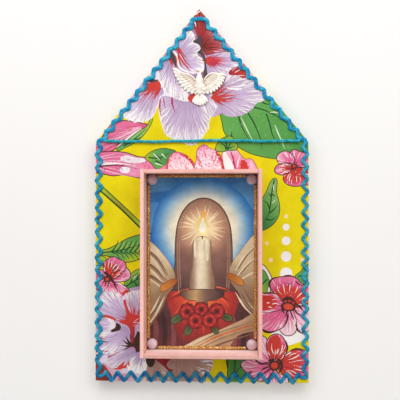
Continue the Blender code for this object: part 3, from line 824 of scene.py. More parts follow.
def draw_right_flower(art):
    """The small flower low on the right of the box."""
    art.shape(
        [(38, 28.4), (43, 31), (47.6, 29), (53, 30), (62, 27), (58, 24), (52, 22), (48.4, 21), (46.8, 24.6),
         (44, 26.6)],
        flat(WHITE)
    )
    art.shape([(48, 20.4), (52.6, 21.8), (60, 25), (60, 21), (54, 18.6), (49, 18)], flat(YELLOW))
    draw_small_flower(
        art, (48.6, 42.6),
        [("pale", [(51, 40), (54.6, 42.6), (60, 43.6), (64, 38), (60, 29.6), (55, 28.6), (52.4, 33)]),
         ("pale",
          [(43.4, 33), (47, 38), (50.4, 40.6), (52.4, 36), (53.2, 31.6), (52, 28), (48.6, 26.6), (45.2, 28)]),
         ("pink",
          [(30, 39), (36, 39.6), (42, 40.6), (46.6, 42), (48.4, 38), (46.8, 32.6), (43.4, 30), (39.4, 28.8),
           (35, 29.4), (30, 31)]),
         ("pink",
          [(30, 48.6), (38, 50), (42.2, 49.2), (45.6, 46.4), (47, 43), (42, 40.4), (36, 39.8), (30, 40.4)]),
         ("red",
          [(38.4, 55), (40.4, 58), (44, 59), (49, 59.6), (53, 58.4), (56.4, 55.2), (62, 52.6), (61, 47),
           (57, 43.4), (50, 43), (46, 45.4), (42, 49.4), (39.4, 52)])],
        (2.9, 0.62, -8), 1.45
    )
    art.shape([(30, 48), (36, 49), (40.6, 47.8), (42.4, 45), (40.6, 41.6), (35, 40.6), (30, 41)], flat(RED))
    art.rays(smooth([(41, 48), (44, 45), (41, 41)]), (30, 44.6), WHITE, 4, 0.7, 0.98, 0.6)
    for line, width in (
        ([(33, 30.4), (36, 28.6), (39.4, 28.2), (43, 29.6)], 1.5),
        ([(39.2, 52), (38, 55.6), (40, 58.4), (43, 59.2)], 1.2), ([(46, 59.6), (49.4, 60), (53, 59)], 1.2),
        ([(48.2, 53.6), (49.4, 55.4), (50.6, 56.4)], 0.8), ([(52.6, 57), (55, 55), (57.4, 54.4)], 1.0),
        ([(35, 50), (39, 50.4), (43, 49.4)], 1.1),
        ([(45.4, 46), (48, 47.4), (51, 46.6), (53.4, 44.2)], 2.2),
        ([(52, 44.6), (54.6, 43), (58, 39)], 1.3), ([(51.4, 41.4), (53.6, 39), (57, 37)], 0.9),
        ([(45.2, 44), (45.6, 41), (46.4, 38.6)], 1.6), ([(47.8, 38.6), (48.2, 36), (46.8, 33)], 1.0),
        ([(50, 39), (51.4, 37), (52, 35)], 0.8), ([(52.6, 33), (54, 30), (57, 27)], 0.9)
    ):
        art.stroke(line, width, OUTLINE, (0.5, 0.2))


def draw_corner_flower(art):
    """The small flower at the lower right corner."""
    draw_small_flower(
        art, (40.9, 9.7),
        [("pale", [(30, 26), (36, 25), (37.2, 20), (39.2, 13.6), (36, 11.4), (30, 12)]),
         ("pale", [(41, 7), (43.4, 4.6), (48, 3.4), (47, -3), (40, -5), (36, 0), (38, 5)]),
         ("pink", [(22.6, 11), (25, 6), (29, 3), (34, 1), (40, 6.4), (39, 10.8), (34, 11), (29, 12.6)]),
         ("red",
          [(45, 13), (49, 17), (53, 19), (58, 18), (63, 14), (62, 6), (56, 4), (51.4, 2.8), (48.4, 3.4),
           (44.6, 6), (42.6, 9.6)]),
         ("red",
          [(36.6, 21.6), (38, 25), (41, 27), (44.2, 26.6), (46.8, 23), (47.6, 18), (46, 14.4), (41.6, 10),
           (38.4, 14)])],
        (2.1, 0.9, 20), 1.5
    )
    art.shape(
        [(37.4, 23), (40, 26.2), (43, 26.4), (44.6, 23), (43.8, 17.6), (41.4, 14), (38.6, 15.6), (37.4, 19)],
        flat(RED)
    )
    art.rays(smooth([(39, 24), (42, 25), (44.6, 22)]), (41, 12.6), WHITE, 4, 0.35, 0.75, 0.6)
    for line, width in (
        ([(47.2, 23.6), (48.2, 19), (47, 15.4)], 1.3), ([(30.4, 12.4), (33.4, 10.6), (38, 10.8)], 1.3),
        ([(33.8, 7.2), (36.4, 8.6), (38.8, 9)], 1.1), ([(34.6, 5), (37, 6.6), (38.8, 7.4)], 1.0),
        ([(24.6, 3.4), (27, 5.6), (28.6, 6.4)], 1.2),
        ([(42.4, 13.4), (44.6, 11.6), (44.8, 8), (43, 5)], 1.8),
        ([(37.4, 12.6), (39.6, 12.8), (42, 13.6)], 1.4), ([(39, 5.6), (38.4, 3), (38, 0)], 0.9),
        ([(49, 17.6), (53, 19.2), (57.4, 17.6)], 1.1)
    ):
        art.stroke(line, width, OUTLINE, (0.4, 0.3))


def draw_left_leaves(art):
    """A stem and leaves to the left of the box."""
    art.shape(
        [(-58, 111), (-55, 109.6), (-45, 99.8), (-33, 88.4), (-33, 85), (-45, 96.6), (-56, 106.6),
         (-60, 109)],
        slope((-56, 108), (-35, 88), [(0, LIME), (0.5, OLIVE), (1, LIME)])
    )
    art.stroke([(-57, 110.6), (-45, 99.9), (-33, 88.5)], 0.6, GREEN_DARK, (0.8, 0.8))
    art.stroke([(-59, 109), (-45, 96.7), (-33, 85)], 1.0, GREEN_DARK, (0.8, 0.9))

    leaf = [
        (-58, 72.4), (-52, 74.8), (-48, 76.8), (-44, 79.2), (-40, 81), (-35, 82.4), (-30, 82.8), (-30, 72),
        (-36.6, 68.6), (-41, 67.4), (-45, 67.8), (-50, 70), (-55, 71.2)
    ]
    veins, gleams = [[(-57, 72.4), (-45, 74), (-32, 78)]], []
    for x in (-51, -48.4, -45.8, -43.2, -40.6, -38, -35.4):
        veins.append([(x, 73), (x + 2.4, 75.6), (x + 4, 79.4)])
        veins.append([(x, 73), (x + 3, 71.6), (x + 5, 69)])
        gleams.append([(x + 1.9, 74), (x + 3.8, 76.4), (x + 5, 78.6)])
        gleams.append([(x + 1.6, 72), (x + 3.8, 70.4)])
    art.leaf(
        leaf, [], slope((-50, 78), (-42, 68), [(0, LIME), (0.35, GREEN), (0.8, GREEN), (1, LIME)]), OUTLINE,
        0.5
    )
    for line in gleams:
        art.stroke(line, 1.1, (150, 190, 84), (0.4, 0.3))
    for line in veins:
        art.stroke(line, 0.7, (46, 76, 44), (1.0, 0.4))
    art.leaf([(-62, 70), (-57, 70.6), (-54, 69), (-54.6, 66.4), (-58, 65.4), (-62, 66)],
             [[(-60, 68), (-55, 67.8)]], flat(LIME), OUTLINE)
    art.leaf(
        [(-43.6, 53), (-42.4, 57), (-40, 60.2), (-37.6, 62.2), (-34, 63.4), (-30, 63.6), (-30, 50),
         (-36, 50.2), (-41, 50.6)],
        [[(-42.6, 53.6), (-37.6, 56.6), (-32, 59.6)], [(-40, 55.4), (-38.6, 58.6), (-36, 61)],
         [(-38, 56.4), (-36, 53.6), (-33, 52)], [(-37, 57), (-35.4, 59.6), (-33.4, 61.6)]],
        slope((-42, 60), (-36, 50), [(0, LIME), (0.4, GREEN), (1, GREEN_DARK)]), OUTLINE,
        gleams=[[(-39, 57.6), (-36.4, 60)]]
    )


def draw_left_flower(art):
    """The small flower to the left of the box, and the ground of the lilac one below it."""
    art.shape([(-62, 51), (-48, 50.6), (-30, 51.4), (-30, 4), (-44, 4), (-50, 8), (-62, 9)],
              slope((-56, 30), (-32, 30), [(0, LILAC), (0.6, LILAC), (1, LILAC_DEEP)]))
    draw_small_flower(
        art, (-53.4, 57.4),
        [("pink", [(-66, 60), (-57, 62.6), (-53, 60.4), (-53, 57), (-57, 56), (-66, 55)]),
         ("pink", [(-60, 53.6), (-56, 50), (-51, 49), (-49.6, 52), (-51.6, 57.6), (-55.6, 58)]),
         ("pink",
          [(-51.6, 57.4), (-46, 55), (-42, 52.4), (-40.8, 50.6), (-44.6, 47.4), (-47.6, 48.4),
           (-49.8, 51.4)]),
         ("pink", [(-47.6, 65.6), (-42.6, 64), (-40.2, 60.4), (-41.4, 57.4), (-45.4, 56.4), (-51, 57)]),
         ("red",
          [(-55.4, 65.6), (-53.2, 68.6), (-50, 70), (-46.4, 68.6), (-43.2, 66.8), (-43, 63.6),
           (-46.6, 59.6), (-52, 57.6), (-54.4, 60.6)])],
        (1.2, 0.8, 40)
    )
    art.shape([(-44, 50.6), (-42, 51.8), (-40.9, 50.4), (-43.4, 48.2), (-45, 48.8)], flat(RED))
    art.stroke([(-54.8, 61.6), (-51.4, 58.4), (-49.2, 54.6), (-47.4, 50.6)], 1.7, OUTLINE, (0.6, 0.2))
    for line in (
        [(-52, 57), (-52.6, 54.4), (-53.4, 52.6)], [(-53.4, 56.6), (-54.4, 54.6), (-55.4, 53)],
        [(-50, 56), (-48, 54), (-46.4, 53)], [(-49.6, 60.6), (-47, 62.4), (-44.6, 62.6)],
        [(-50.4, 62), (-48.4, 64.6), (-45.6, 65.4)]
    ):
        art.stroke(line, 0.7, OUTLINE, (1, 0.1))


def draw_lilac_flower(art):
    """The second lilac flower, low on the left."""
    lilac_petal(
        art, [(-45.4, 46.6), (-41, 50.2), (-35, 51.4), (-30, 51.6), (-30, 40), (-40, 41), (-44, 45)],
        (-36, 33), (0, 0), (18, 0.72)
    )
    lilac_petal(
        art,
        [(-64, 44), (-58, 46.6), (-55, 50.4), (-50, 50.2), (-46.4, 48), (-43.4, 45.6), (-42.4, 41.6),
         (-41.6, 37), (-42, 33.4), (-46, 33.4), (-50, 35.4), (-54, 36.4), (-58, 35.4), (-64, 36)],
        (-40, 33.4), (9, 0.3), (18, 0.7)
    )
    art.stroke([(-43.6, 45.6), (-42.6, 42), (-41.6, 39)], 0.9, CRIMSON, (0.4, 1))
    lilac_petal(
        art,
        [(-64, 34), (-56, 35.6), (-52, 36), (-49.4, 34), (-48.4, 31), (-50.4, 28.4), (-54, 27), (-64, 28)],
        (-66, 31), (0, 0), (8, 0.75), WHITE, CRIMSON
    )
    art.shape(
        [(-53, 35.4), (-50, 34.2), (-48.6, 31.2), (-50.2, 28.8), (-52.2, 29.6), (-51.4, 32.4)],
        flat(LILAC_WHITE)
    )
    lilac_petal(
        art,
        [(-46, 30), (-43, 30.8), (-40.8, 28), (-40.2, 24), (-42, 20.4), (-45, 16), (-48, 14.6), (-53, 15.4),
         (-64, 17), (-64, 25), (-56, 25.6), (-52, 27.6)],
        (-39.4, 30), (0, 0), (20, 0.62)
    )
    art.shape([(-47.8, 32.8), (-45.4, 30), (-49, 27.8), (-51.4, 28.2), (-48.8, 30.2)], flat(OUTLINE))
    art.shape(
        [(-41.6, 20), (-40, 21.4), (-38.8, 22.6), (-37, 26), (-35.6, 28.4), (-30, 28.4), (-30, 13),
         (-36.4, 14), (-37.2, 17.6), (-39, 19)],
        flat(OUTLINE)
    )
    for line in (
        [(-38, 20), (-41.4, 22.6), (-42.6, 25.4)], [(-38, 20), (-42.6, 21.6), (-44.6, 23.4)],
        [(-38, 19.4), (-42.4, 19.8), (-45.4, 20.2)], [(-39, 19), (-43, 18), (-46, 16.8)],
        [(-38, 21), (-39.8, 24), (-40.2, 27)]
    ):
        art.stroke(line, 1.5, OUTLINE, (1, 0.1))
    lilac_petal(
        art,
        [(-44.6, 16), (-40.4, 19), (-37.8, 18.8), (-37.2, 15), (-38.4, 11.4), (-41, 8.8), (-45, 7.2),
         (-49, 6.8), (-53, 8.4), (-54.4, 11), (-51.4, 14.2)],
        (-37, 20), (0, 0), (9, 0.7), LILAC_PALE, CRIMSON
    )
    art.stroke([(-50, 6.8), (-44.6, 7.4), (-40.4, 11.4)], 1.4, RED, (0.4, 0.3))
    art.stroke([(-56, 8.6), (-53, 13), (-46.4, 16.4)], 1.0, CRIMSON, (0.6, 0.3))
    throat = [
        (-43.6, 46), (-41.8, 42), (-40, 38.6), (-37, 37.4), (-32, 36.4), (-33, 33.4), (-37, 31),
        (-37.7, 26), (-38.8, 21.2), (-39.8, 23), (-40, 27), (-41.6, 31), (-45.6, 32.8), (-50.4, 36.2),
        (-56.6, 37), (-52, 35.4), (-47.6, 34), (-43.2, 34.6), (-42.4, 37.6), (-43, 41)
    ]
    art.shape(throat, slope((-43, 44), (-37, 24), [(0, RED), (0.5, RED), (1, RED_DEEP)]))
    art.rays(smooth([(-42, 46), (-38, 44), (-33, 42), (-31, 38)]), (-38, 33), RED, 8, 0.3, 1.0, 0.9)
    art.rays(smooth([(-34, 36), (-32, 30), (-34, 27)]), (-40, 33), PINK_PALE, 4, 0.3, 0.95, 0.5)
    lilac_petal(
        art, [(-34.4, 33), (-31, 35), (-29, 30), (-32, 27), (-35.4, 28.6)], (-38, 31), (0, 0), (5, 0.5)
    )
    lilac_petal(
        art,
        [(-38.4, 14.8), (-35, 16.6), (-32, 14), (-29.8, 10), (-31, 6.6), (-35, 3.6), (-40, 4.6),
         (-42.2, 8.4), (-39.6, 11.4)],
        (-34, 18), (0, 0), (16, 0.5)
    )
    art.shape(
        [(-41.4, 8), (-38, 9.4), (-34, 9), (-31, 11.6), (-29.6, 9), (-31.4, 5.6), (-35, 3), (-39.6, 4)],
        flat(WHITE)
    )
    art.rays(smooth([(-41, 6), (-37, 4), (-32, 6)]), (-35, 14), LILAC, 7, 0.5, 0.9, 0.4)


def draw_left_corner(art):
    """Strokes and petals at the lower left corner."""
    for line, colour in (
        ([(-62, 23.6), (-58, 24.6), (-53.6, 23.2)], RED), ([(-60, 22), (-56, 22.4), (-52, 21.8)], OUTLINE),
        ([(-62, 15.8), (-57, 17), (-51.6, 16.4)], CRIMSON),
        ([(-60, 14.4), (-56.4, 14.6), (-54, 13.4)], OUTLINE)
    ):
        art.stroke(line, 1.0, colour)
    art.shape([(-57, 13.8), (-53.6, 14.4), (-53, 12), (-55.4, 9.8), (-57.4, 11)], flat(LILAC_PALE))
    art.shape([(-56, 10), (-52, 7.6), (-47, 6.4), (-42, 7), (-42, 1), (-50, -1), (-55, 1)],
              slope((-55, 4), (-43, 4), [(0, (206, 150, 168)), (1, LILAC_PALE)]))
    art.shape([(-64, 10), (-58, 9.8), (-54.8, 8.8), (-52.4, 5.6), (-50.6, 2.6), (-52, -4), (-64, -6)],
              slope((-60, 9), (-52, 0), [(0, RED_DEEP), (0.5, (164, 66, 48)), (1, (112, 48, 44))]))
    art.stroke([(-58.6, 9.4), (-55.6, 6), (-55, 2)], 0.9, OUTLINE)
    art.rays(smooth([(-48, 6.4), (-44, 6.6), (-40.6, 9)]), (-41, 14), (206, 74, 54), 6, 0.95, 0.45, 1.3)
    art.shape([(-64, -4), (-50, -3), (-46, 3.4), (-41, 4.6), (-33, 3), (-31, -8), (-64, -9)],
              slope((-54, 0), (-34, 0), [(0, RED_DEEP), (0.3, (206, 120, 140)), (1, LILAC_PALE)]))


def draw_below_box(art):
    """What shows between the box and the base, and turns under the base edge, with the box's painted shadow on
    its petals.
    """
    # Painted shadow of the box: these petals take darker, warmer inks and tips
    lilac_petal(
        art,
        [(-22, 13.5), (5.6, 13.5), (6.4, 10), (4.4, 5), (2.4, 0), (2, -8), (-12, -9), (-22, -6), (-24, 4)],
        (-14, 20), (0, 0), (16, 0.8), (226, 196, 190), inks=BOX_SHADOW_INKS
    )
    art.rays(smooth([(6.4, 12), (5.6, 8), (4, 4)]), (-14, 12), WHITE, 9, 0.98, 0.72, 1.0)
    for line in ([(6, 11.4), (3, 10.6), (-1, 10.2)], [(4, 7), (1, 6.4), (-2, 5)]):
        art.stroke(line, 0.7, SHADE, (0.2, 0.3))
    lilac_petal(
        art, [(-29, 13.5), (-22, 13.5), (-20, 8), (-17.6, 4.6), (-19, 0), (-21, -8), (-33, -8), (-31, 2)],
        (-30, 12), (0, 0), (12, 0.55), (226, 204, 198), inks=BOX_SHADOW_INKS
    )
    art.shape([(-31.2, 14), (-26.4, 14), (-28.6, 8)], flat(OUTLINE))
    art.shape(
        [(-26.8, 14), (-17.4, 14), (-19.5, 9.6), (-18, 7.2), (-15.6, 6.7), (-18.5, 6.2), (-21.4, 8.9),
         (-24.8, 11.5)],
        flat(RED_DEEP)
    )
    art.leaf(
        [(15, 14), (23.6, 14), (24, 9), (25, 4.6), (22.4, 0), (22, -6), (16, -7), (14.6, 0), (14.9, 7)],
        [[(14.9, 14), (14.8, 7), (14.4, 2)], [(24.2, 10.6), (22, 8.6), (19, 5.6)],
         [(19, 13), (18.8, 8), (18, 3)]],
        slope((15, 6), (24, 6), [(0, (96, 150, 60)), (0.35, (74, 136, 66)), (1, (84, 148, 74))]), OUTLINE
    )


def draw_turned_edges(art):
    """Flowers and leaves on the part of the cloth that goes over the edges and onto the back."""
    for place, size in (
        ((73, 92), 7), ((-74, 96), 8), ((34, 187), 8), ((-44, 176), 7), ((-8, -12), 8), ((76, 40), 6),
        ((-72, 22), 7), ((46, -13), 6), ((-44, -13), 6)
    ):
        centre = np.array(place, float)
        petals = []
        for index in range(5):
            turn = math.radians(72 * index + place[0])
            along = np.array([math.cos(turn), math.sin(turn)])
            across = np.array([-along[1], along[0]])
            petals.append(
                ("red" if index % 2 else "pink",
                 [centre, centre + size * (0.6 * along - 0.42 * across),
                  centre + size * (along - 0.25 * across), centre + size * (along + 0.25 * across),
                  centre + size * (0.6 * along + 0.42 * across)])
            )
        draw_small_flower(art, centre, petals, (size * 0.16, 0.8, 0))
    for foot, tip in (
        ((66, 70), (74, 84)), ((-66, 82), (-76, 70)), ((40, 170), (56, 160)), ((-50, 160), (-66, 150)),
        ((18, -8), (34, -14)), ((-20, -8), (-34, -16))
    ):
        art.sprig(foot, tip, 0.4, 0.24, (GREEN, LIME))


def draw_cloth():
    """The whole print, from what lies lowest to what lies on top."""
    art = Artwork(flat(YELLOW), seed=11)
    for draw in (
        draw_turned_edges, draw_roof_leaf, draw_roof_bud, draw_eave_bud, draw_petals_above_box,
        draw_gable_left, draw_gable_lower, draw_gable_middle, draw_gable_throat, draw_gable_right,
        draw_left_leaves, draw_left_flower, draw_lilac_flower, draw_left_corner, draw_below_box,
        draw_right_column, draw_right_flower, draw_corner_flower,
    ):
        draw(art)
    return art


# The picture in the box: a lit candle between curtains, over roses

SKY = (36, 122, 208)
GLOW = (250, 238, 208)
LINEN = (218, 194, 154)
LINEN_PALE = (240, 222, 188)
LINEN_SHADE = (164, 130, 98)
MAROON = (84, 42, 44)
MAROON_PALE = (134, 74, 76)
BRONZE = (126, 92, 78)
ROSE_DEEP = (140, 32, 30)
ROSE_DARK = (92, 24, 32)


def draw_rose(art, centre, size):
    """A rose of five rings of round petals."""
    centre = np.array(centre, float)
    for share, colour, petals, spin in (
        (1.0, ROSE_DARK, 6, 0), (0.86, ROSE_DEEP, 5, 30), (0.64, (184, 52, 44), 5, 70),
        (0.46, ROSE_DEEP, 4, 10), (0.26, ROSE_DARK, 3, 50)
    ):
        for index in range(petals):
            turn = math.radians(spin + 360 * index / petals)
            way = np.array([math.cos(turn), math.sin(turn)])
            paint = slope(
                centre, centre + size * share * way,
                [(0, np.multiply(colour, 0.6)), (0.6, colour), (1, np.multiply(colour, 1.3))]
            )
            art.area(circle(centre + 0.42 * share * size * way, 0.58 * share * size, 18), paint)


def draw_curtain(art, edge, folds, tie):
    """A cream curtain drawn to one side, with soft folds and a gold tie."""
    art.shape(
        edge,
        slope(
            edge[0], edge[len(edge) // 2], [(0, LINEN), (0.35, LINEN_PALE), (0.7, LINEN), (1, LINEN_SHADE)]
        ),
        LINEN_SHADE, 0.3
    )
    for index, line in enumerate(folds):
        for shift, width, colour in ((0, 2.0, LINEN_SHADE), (0.7, 1.2, BRONZE), (-1.4, 1.5, LINEN_PALE)):
            art.stroke(
                [np.add(point, (shift, 0.6 * shift)) for point in line], width * (0.7 + 0.15 * (index % 3)),
                colour, (0.1, 0.4)
            )
    art.shape(tie, slope(tie[0], tie[2], [(0, (226, 150, 62)), (1, (168, 88, 34))]), ROSE_DEEP, 0.3)


def draw_candle(art):
    """A lit candle in a bronze dish."""
    art.shape(
        [(-5.4, -17), (5.8, -17), (5.2, 0), (5, 11.4), (3, 13.4), (-1.6, 13.8), (-4.6, 11.6), (-5, 0)],
        slope(
            (-5.4, 0), (5.8, 0),
            [(0, (150, 112, 92)), (0.3, (248, 232, 202)), (0.6, LINEN_PALE), (1, (148, 108, 86))]
        ),
        BRONZE, 0.3
    )
    art.area(circle((0.1, 12.4), 4.6, 30, 0.3), fan((0, 13), 4.6, [(0, (255, 240, 200)), (1, LINEN)]))
    for x, low in ((-3.4, 2), (0.8, 6), (3.2, 0.4)):
        art.shape([(x - 0.9, 12), (x + 0.9, 12), (x + 0.8, low + 2), (x, low), (x - 0.8, low + 2)],
                  slope((x - 1, 6), (x + 1, 6), [(0, (255, 244, 220)), (1, LINEN)]))
    art.stroke([(0.2, 12.6), (0.3, 14.4), (0.6, 16)], 0.7, (70, 50, 44), (1, 0.8))
    art.shape(
        [(-3, 18.4), (-1.6, 15.2), (0.8, 14.4), (3.2, 16), (3.9, 19), (2.6, 23), (0.9, 29), (-0.6, 25),
         (-2.4, 22)],
        fan((0.5, 18), 11, [(0, (255, 250, 214)), (0.45, (255, 216, 116)), (1, (240, 150, 66))])
    )
    art.shape(
        [(-1.2, 18.6), (0.5, 15.8), (2.1, 18.6), (1.3, 22.6), (0.6, 24.6), (-0.4, 22)],
        flat((255, 252, 232))
    )
    art.shape(
        [(-12, -17.4), (-8, -16), (0, -15.5), (8, -16), (12.4, -17.4), (8, -21), (3, -22), (3, -25),
         (-3, -25), (-3, -22), (-8, -21)],
        slope(
            (-12, -18), (12, -20),
            [(0, (96, 66, 56)), (0.35, (206, 164, 110)), (0.6, BRONZE), (1, (74, 48, 44))]
        ),
        (58, 38, 36), 0.35
    )


def draw_sky(art):
    """Soft clouds and a round glow."""
    for cloud in (
        [(-34, 30), (-22, 33), (-12, 27), (-18, 20), (-34, 18)],
        [(34, 42), (20, 44), (12, 36), (24, 30), (34, 32)], [(34, 14), (22, 16), (18, 8), (34, 4)],
        [(-34, 46), (-20, 48), (-14, 43), (-24, 39), (-34, 40)]
    ):
        art.shape(
            cloud,
            fan(
                np.mean(cloud, axis=0), 14,
                [(0, (96, 164, 222)), (0.6, (72, 148, 216)), (1, (46, 130, 210))]
            )
        )
    art.area(
        circle((1, 18), 29, 60),
        fan(
            (1, 18), 29,
            [(0, GLOW), (0.56, GLOW), (0.66, (224, 226, 214)), (0.8, (142, 188, 220)),
             (0.92, (74, 148, 214)), (1, (42, 126, 208))]
        )
    )


def draw_niche(art):
    """An arched niche lit by the flame."""
    flame = np.array([0.5, 19.0])
    niche = [
        (-14, -20), (-14.6, 0), (-14, 16), (-11.8, 25), (-7.6, 31.4), (-3, 34.4), (1, 35.2), (5, 34.4),
        (9.6, 31.4), (13.8, 25), (16, 16), (16.6, 0), (16, -20)
    ]
    art.shape(
        niche,
        fan(
            flame, 40,
            [(0, (255, 244, 212)), (0.12, (250, 220, 170)), (0.26, (206, 156, 124)), (0.4, (146, 102, 88)),
             (1, (84, 54, 54))]
        ),
        (92, 62, 56), 0.7
    )
    art.rays(circle(flame, 14, 60), flame, (255, 232, 186), 22, 0.3, 0.95, 0.7)
    for share in (0.86, 0.93):
        art.stroke(
            [flame + (np.subtract(spot, flame)) * share for spot in niche], 0.45, (176, 132, 104), (1, 1)
        )


def draw_table(art):
    """A dark table front with a red cloth."""
    art.shape([(-34, -20), (-20, -22), (0, -20), (20, -22), (34, -20), (34, -53), (-34, -53)],
              slope((0, -24), (0, -49), [(0, (96, 50, 48)), (0.4, MAROON), (1, (120, 44, 48))]))
    for x in (-27, -22, -17, 17, 22, 27):
        art.stroke(
            [(x, -28), (x + 1.4, -39), (x + 0.4, -50)], 3, MAROON_PALE if x % 2 else (60, 34, 38),
            (0.2, 0.8)
        )
    cloth = art.shape(
        [(-19, -18), (-10, -17), (0, -16.6), (10, -17), (20, -18), (18, -30), (14, -42), (6, -46),
         (-6, -46), (-13, -42), (-17, -30)],
        fan(
            (0, -20), 29,
            [(0, (246, 140, 74)), (0.3, (226, 82, 48)), (0.62, (176, 46, 40)), (1, (104, 36, 38))]
        )
    )
    art.rays(cloth, (0, -12), (128, 36, 36), 9, 0.45, 0.98, 1.4)
    art.rays(cloth, (0, -12), (232, 106, 62), 8, 0.4, 0.9, 0.8)


def draw_posy(art):
    """A linen band, leaves and roses before the candle."""
    art.shape(
        [(-12, -51), (-4, -44), (9, -38.6), (22, -32.6), (33, -28), (33, -36), (20, -41), (11, -51)],
        slope((-6, -42), (2, -52), [(0, LINEN_PALE), (0.5, LINEN), (1, (190, 150, 112))]), LINEN_SHADE, 0.3
    )
    for lift, colour in ((-39.4, LINEN_SHADE), (-41, (206, 112, 58)), (-43, LINEN_SHADE), (-46, BRONZE)):
        art.stroke([(-4, lift - 7), (10, lift), (31, lift + 7)], 1.2, colour, (0.2, 0.5))
    for foot, tip in (
        ((-11, -30), (-17, -34)), ((-6, -35), (-9, -41)), ((11, -30), (17, -32)), ((6, -35.6), (8.6, -40))
    ):
        art.sprig(foot, tip, 0.5, 0.3, ((70, 74, 46), (112, 118, 70)), (44, 40, 32))
    for spot, size in (
        ((-8.2, -28), 5), ((8.4, -27.6), 4.8), ((-0.4, -26.6), 4.6), ((-3.6, -33), 5), ((4.4, -32.6), 5)
    ):
        draw_rose(art, spot, size)


def draw_card_art():
    """The whole picture, from what lies lowest to what lies on top."""
    ground = slope(
        (0, 49), (0, -49),
        [(0, (66, 134, 202)), (0.2, SKY), (0.5, (16, 108, 208)), (0.64, MAROON), (1, MAROON)]
    )
    art = Artwork(ground, seed=3)
    draw_sky(art)
    draw_niche(art)
    draw_table(art)
    draw_candle(art)
    draw_curtain(
        art,
        [(-36, 15), (-28, 10.4), (-21, 3), (-16, -5), (-15.4, -12), (-20, -19), (-25, -29), (-30, -37),
         (-36, -40)],
        [[(-34, 8), (-26, 2), (-19.6, -8)], [(-34, 1), (-27, -4), (-20.6, -11)],
         [(-34, -6), (-28, -9), (-22, -13)], [(-22, -18), (-26, -26), (-32, -34)],
         [(-19.6, -18.6), (-24.6, -29), (-30.6, -37)]],
        [(-22.6, -16.6), (-15, -12.6), (-14.4, -9.6), (-22.4, -13.2)]
    )
    draw_curtain(
        art,
        [(36, 20), (29, 15), (22, 6.6), (16.4, -2), (15.6, -9), (20, -16), (25, -23), (30, -29), (36, -32)],
        [[(34, 12), (26, 5), (20, -4)], [(34, 5), (27, 0), (21, -7)], [(34, -3), (28, -6), (22, -9.6)],
         [(22, -14.4), (26, -21), (32, -27)], [(20, -15.8), (25, -24), (30.6, -29.6)]],
        [(22.6, -13), (15.2, -9.4), (14.6, -6.4), (22.4, -9.8)]
    )
    draw_posy(art)
    return art


# Materials

def light_colour(colour):
    return (*screen_to_light(colour), 1)


class Finish:
    """A node material round one principled shader."""

    def __init__(self, name, **settings):
        self.material = bpy.data.materials.new(name)
        self.material.use_nodes = True
        self.tree = self.material.node_tree
        self.shader = self.tree.nodes["Principled BSDF"]
        for socket, value in settings.items():
            self.shader.inputs[socket.replace("_", " ")].default_value = value

    def feed(self, socket, value):
        if isinstance(value, bpy.types.NodeSocket):
            self.tree.links.new(value, socket)
        else:
            socket.default_value = value

    def node(self, kind, settings=None, **inputs):
        """A new node; an input named i and a number is found by its place."""
        made = self.tree.nodes.new(kind)
        for name, value in (settings or {}).items():
            setattr(made, name, value)
        for name, value in inputs.items():
            numbered = name[0] == "i" and name[1:].isdigit()
            self.feed(made.inputs[int(name[1:]) if numbered else name.replace("_", " ")], value)
        return made

    def place(self):
        return self.node("ShaderNodeTexCoord").outputs["Object"]

    def axis(self, vector, letter):
        return self.node("ShaderNodeSeparateXYZ", Vector=vector).outputs[letter]

    def layer(self, name):
        return self.node("ShaderNodeVertexColor", {"layer_name": name}).outputs["Color"]

    def scaled(self, vector, scale):
        return self.node("ShaderNodeMapping", Vector=vector, Scale=scale).outputs["Vector"]

    def noise(self, vector, scale, detail=3.0, roughness=0.6):
        made = self.node(
            "ShaderNodeTexNoise", Vector=vector, Scale=scale, Detail=detail, Roughness=roughness
        )
        return made.outputs["Fac"]

    def ramp(self, value, stops):
        made = self.node("ShaderNodeValToRGB", Fac=value)
        points = made.color_ramp.elements
        while len(points) < len(stops):
            points.new(0.5)
        for point, (position, colour) in zip(points, stops):
            point.position = position
            point.color = light_colour(colour)
        return made.outputs["Color"]

    def spread(self, value, low, high, to_low, to_high):
        made = self.node("ShaderNodeMapRange", Value=value, From_Min=low, From_Max=high, To_Min=to_low,
                         To_Max=to_high)
        return made.outputs["Result"]

    def combine(self, operation, first, second, clamp=False):
        made = self.node("ShaderNodeMath", {"operation": operation, "use_clamp": clamp}, i0=first, i1=second)
        return made.outputs[0]

    def mix(self, factor, first, second, kind="MIX"):
        made = self.node("ShaderNodeMix", {"data_type": "RGBA", "blend_type": kind, "clamp_factor": True},
                         i0=factor, i6=first, i7=second)
        return made.outputs[2]

    def mottled(self, colour, value, stops, share=1.0):
        """The colour multiplied by a ramp of a value, in a share."""
        return self.mix(share, colour, self.ramp(value, stops), "MULTIPLY")

    def colour(self, socket):
        self.feed(self.shader.inputs["Base Color"], socket)

    def rough(self, value, to_low, to_high, low=0.3, high=0.7):
        self.feed(self.shader.inputs["Roughness"], self.spread(value, low, high, to_low, to_high))

    def bump(self, height, strength, distance):
        made = self.node("ShaderNodeBump", Height=height, Strength=strength, Distance=distance)
        self.feed(self.shader.inputs["Normal"], made.outputs["Normal"])


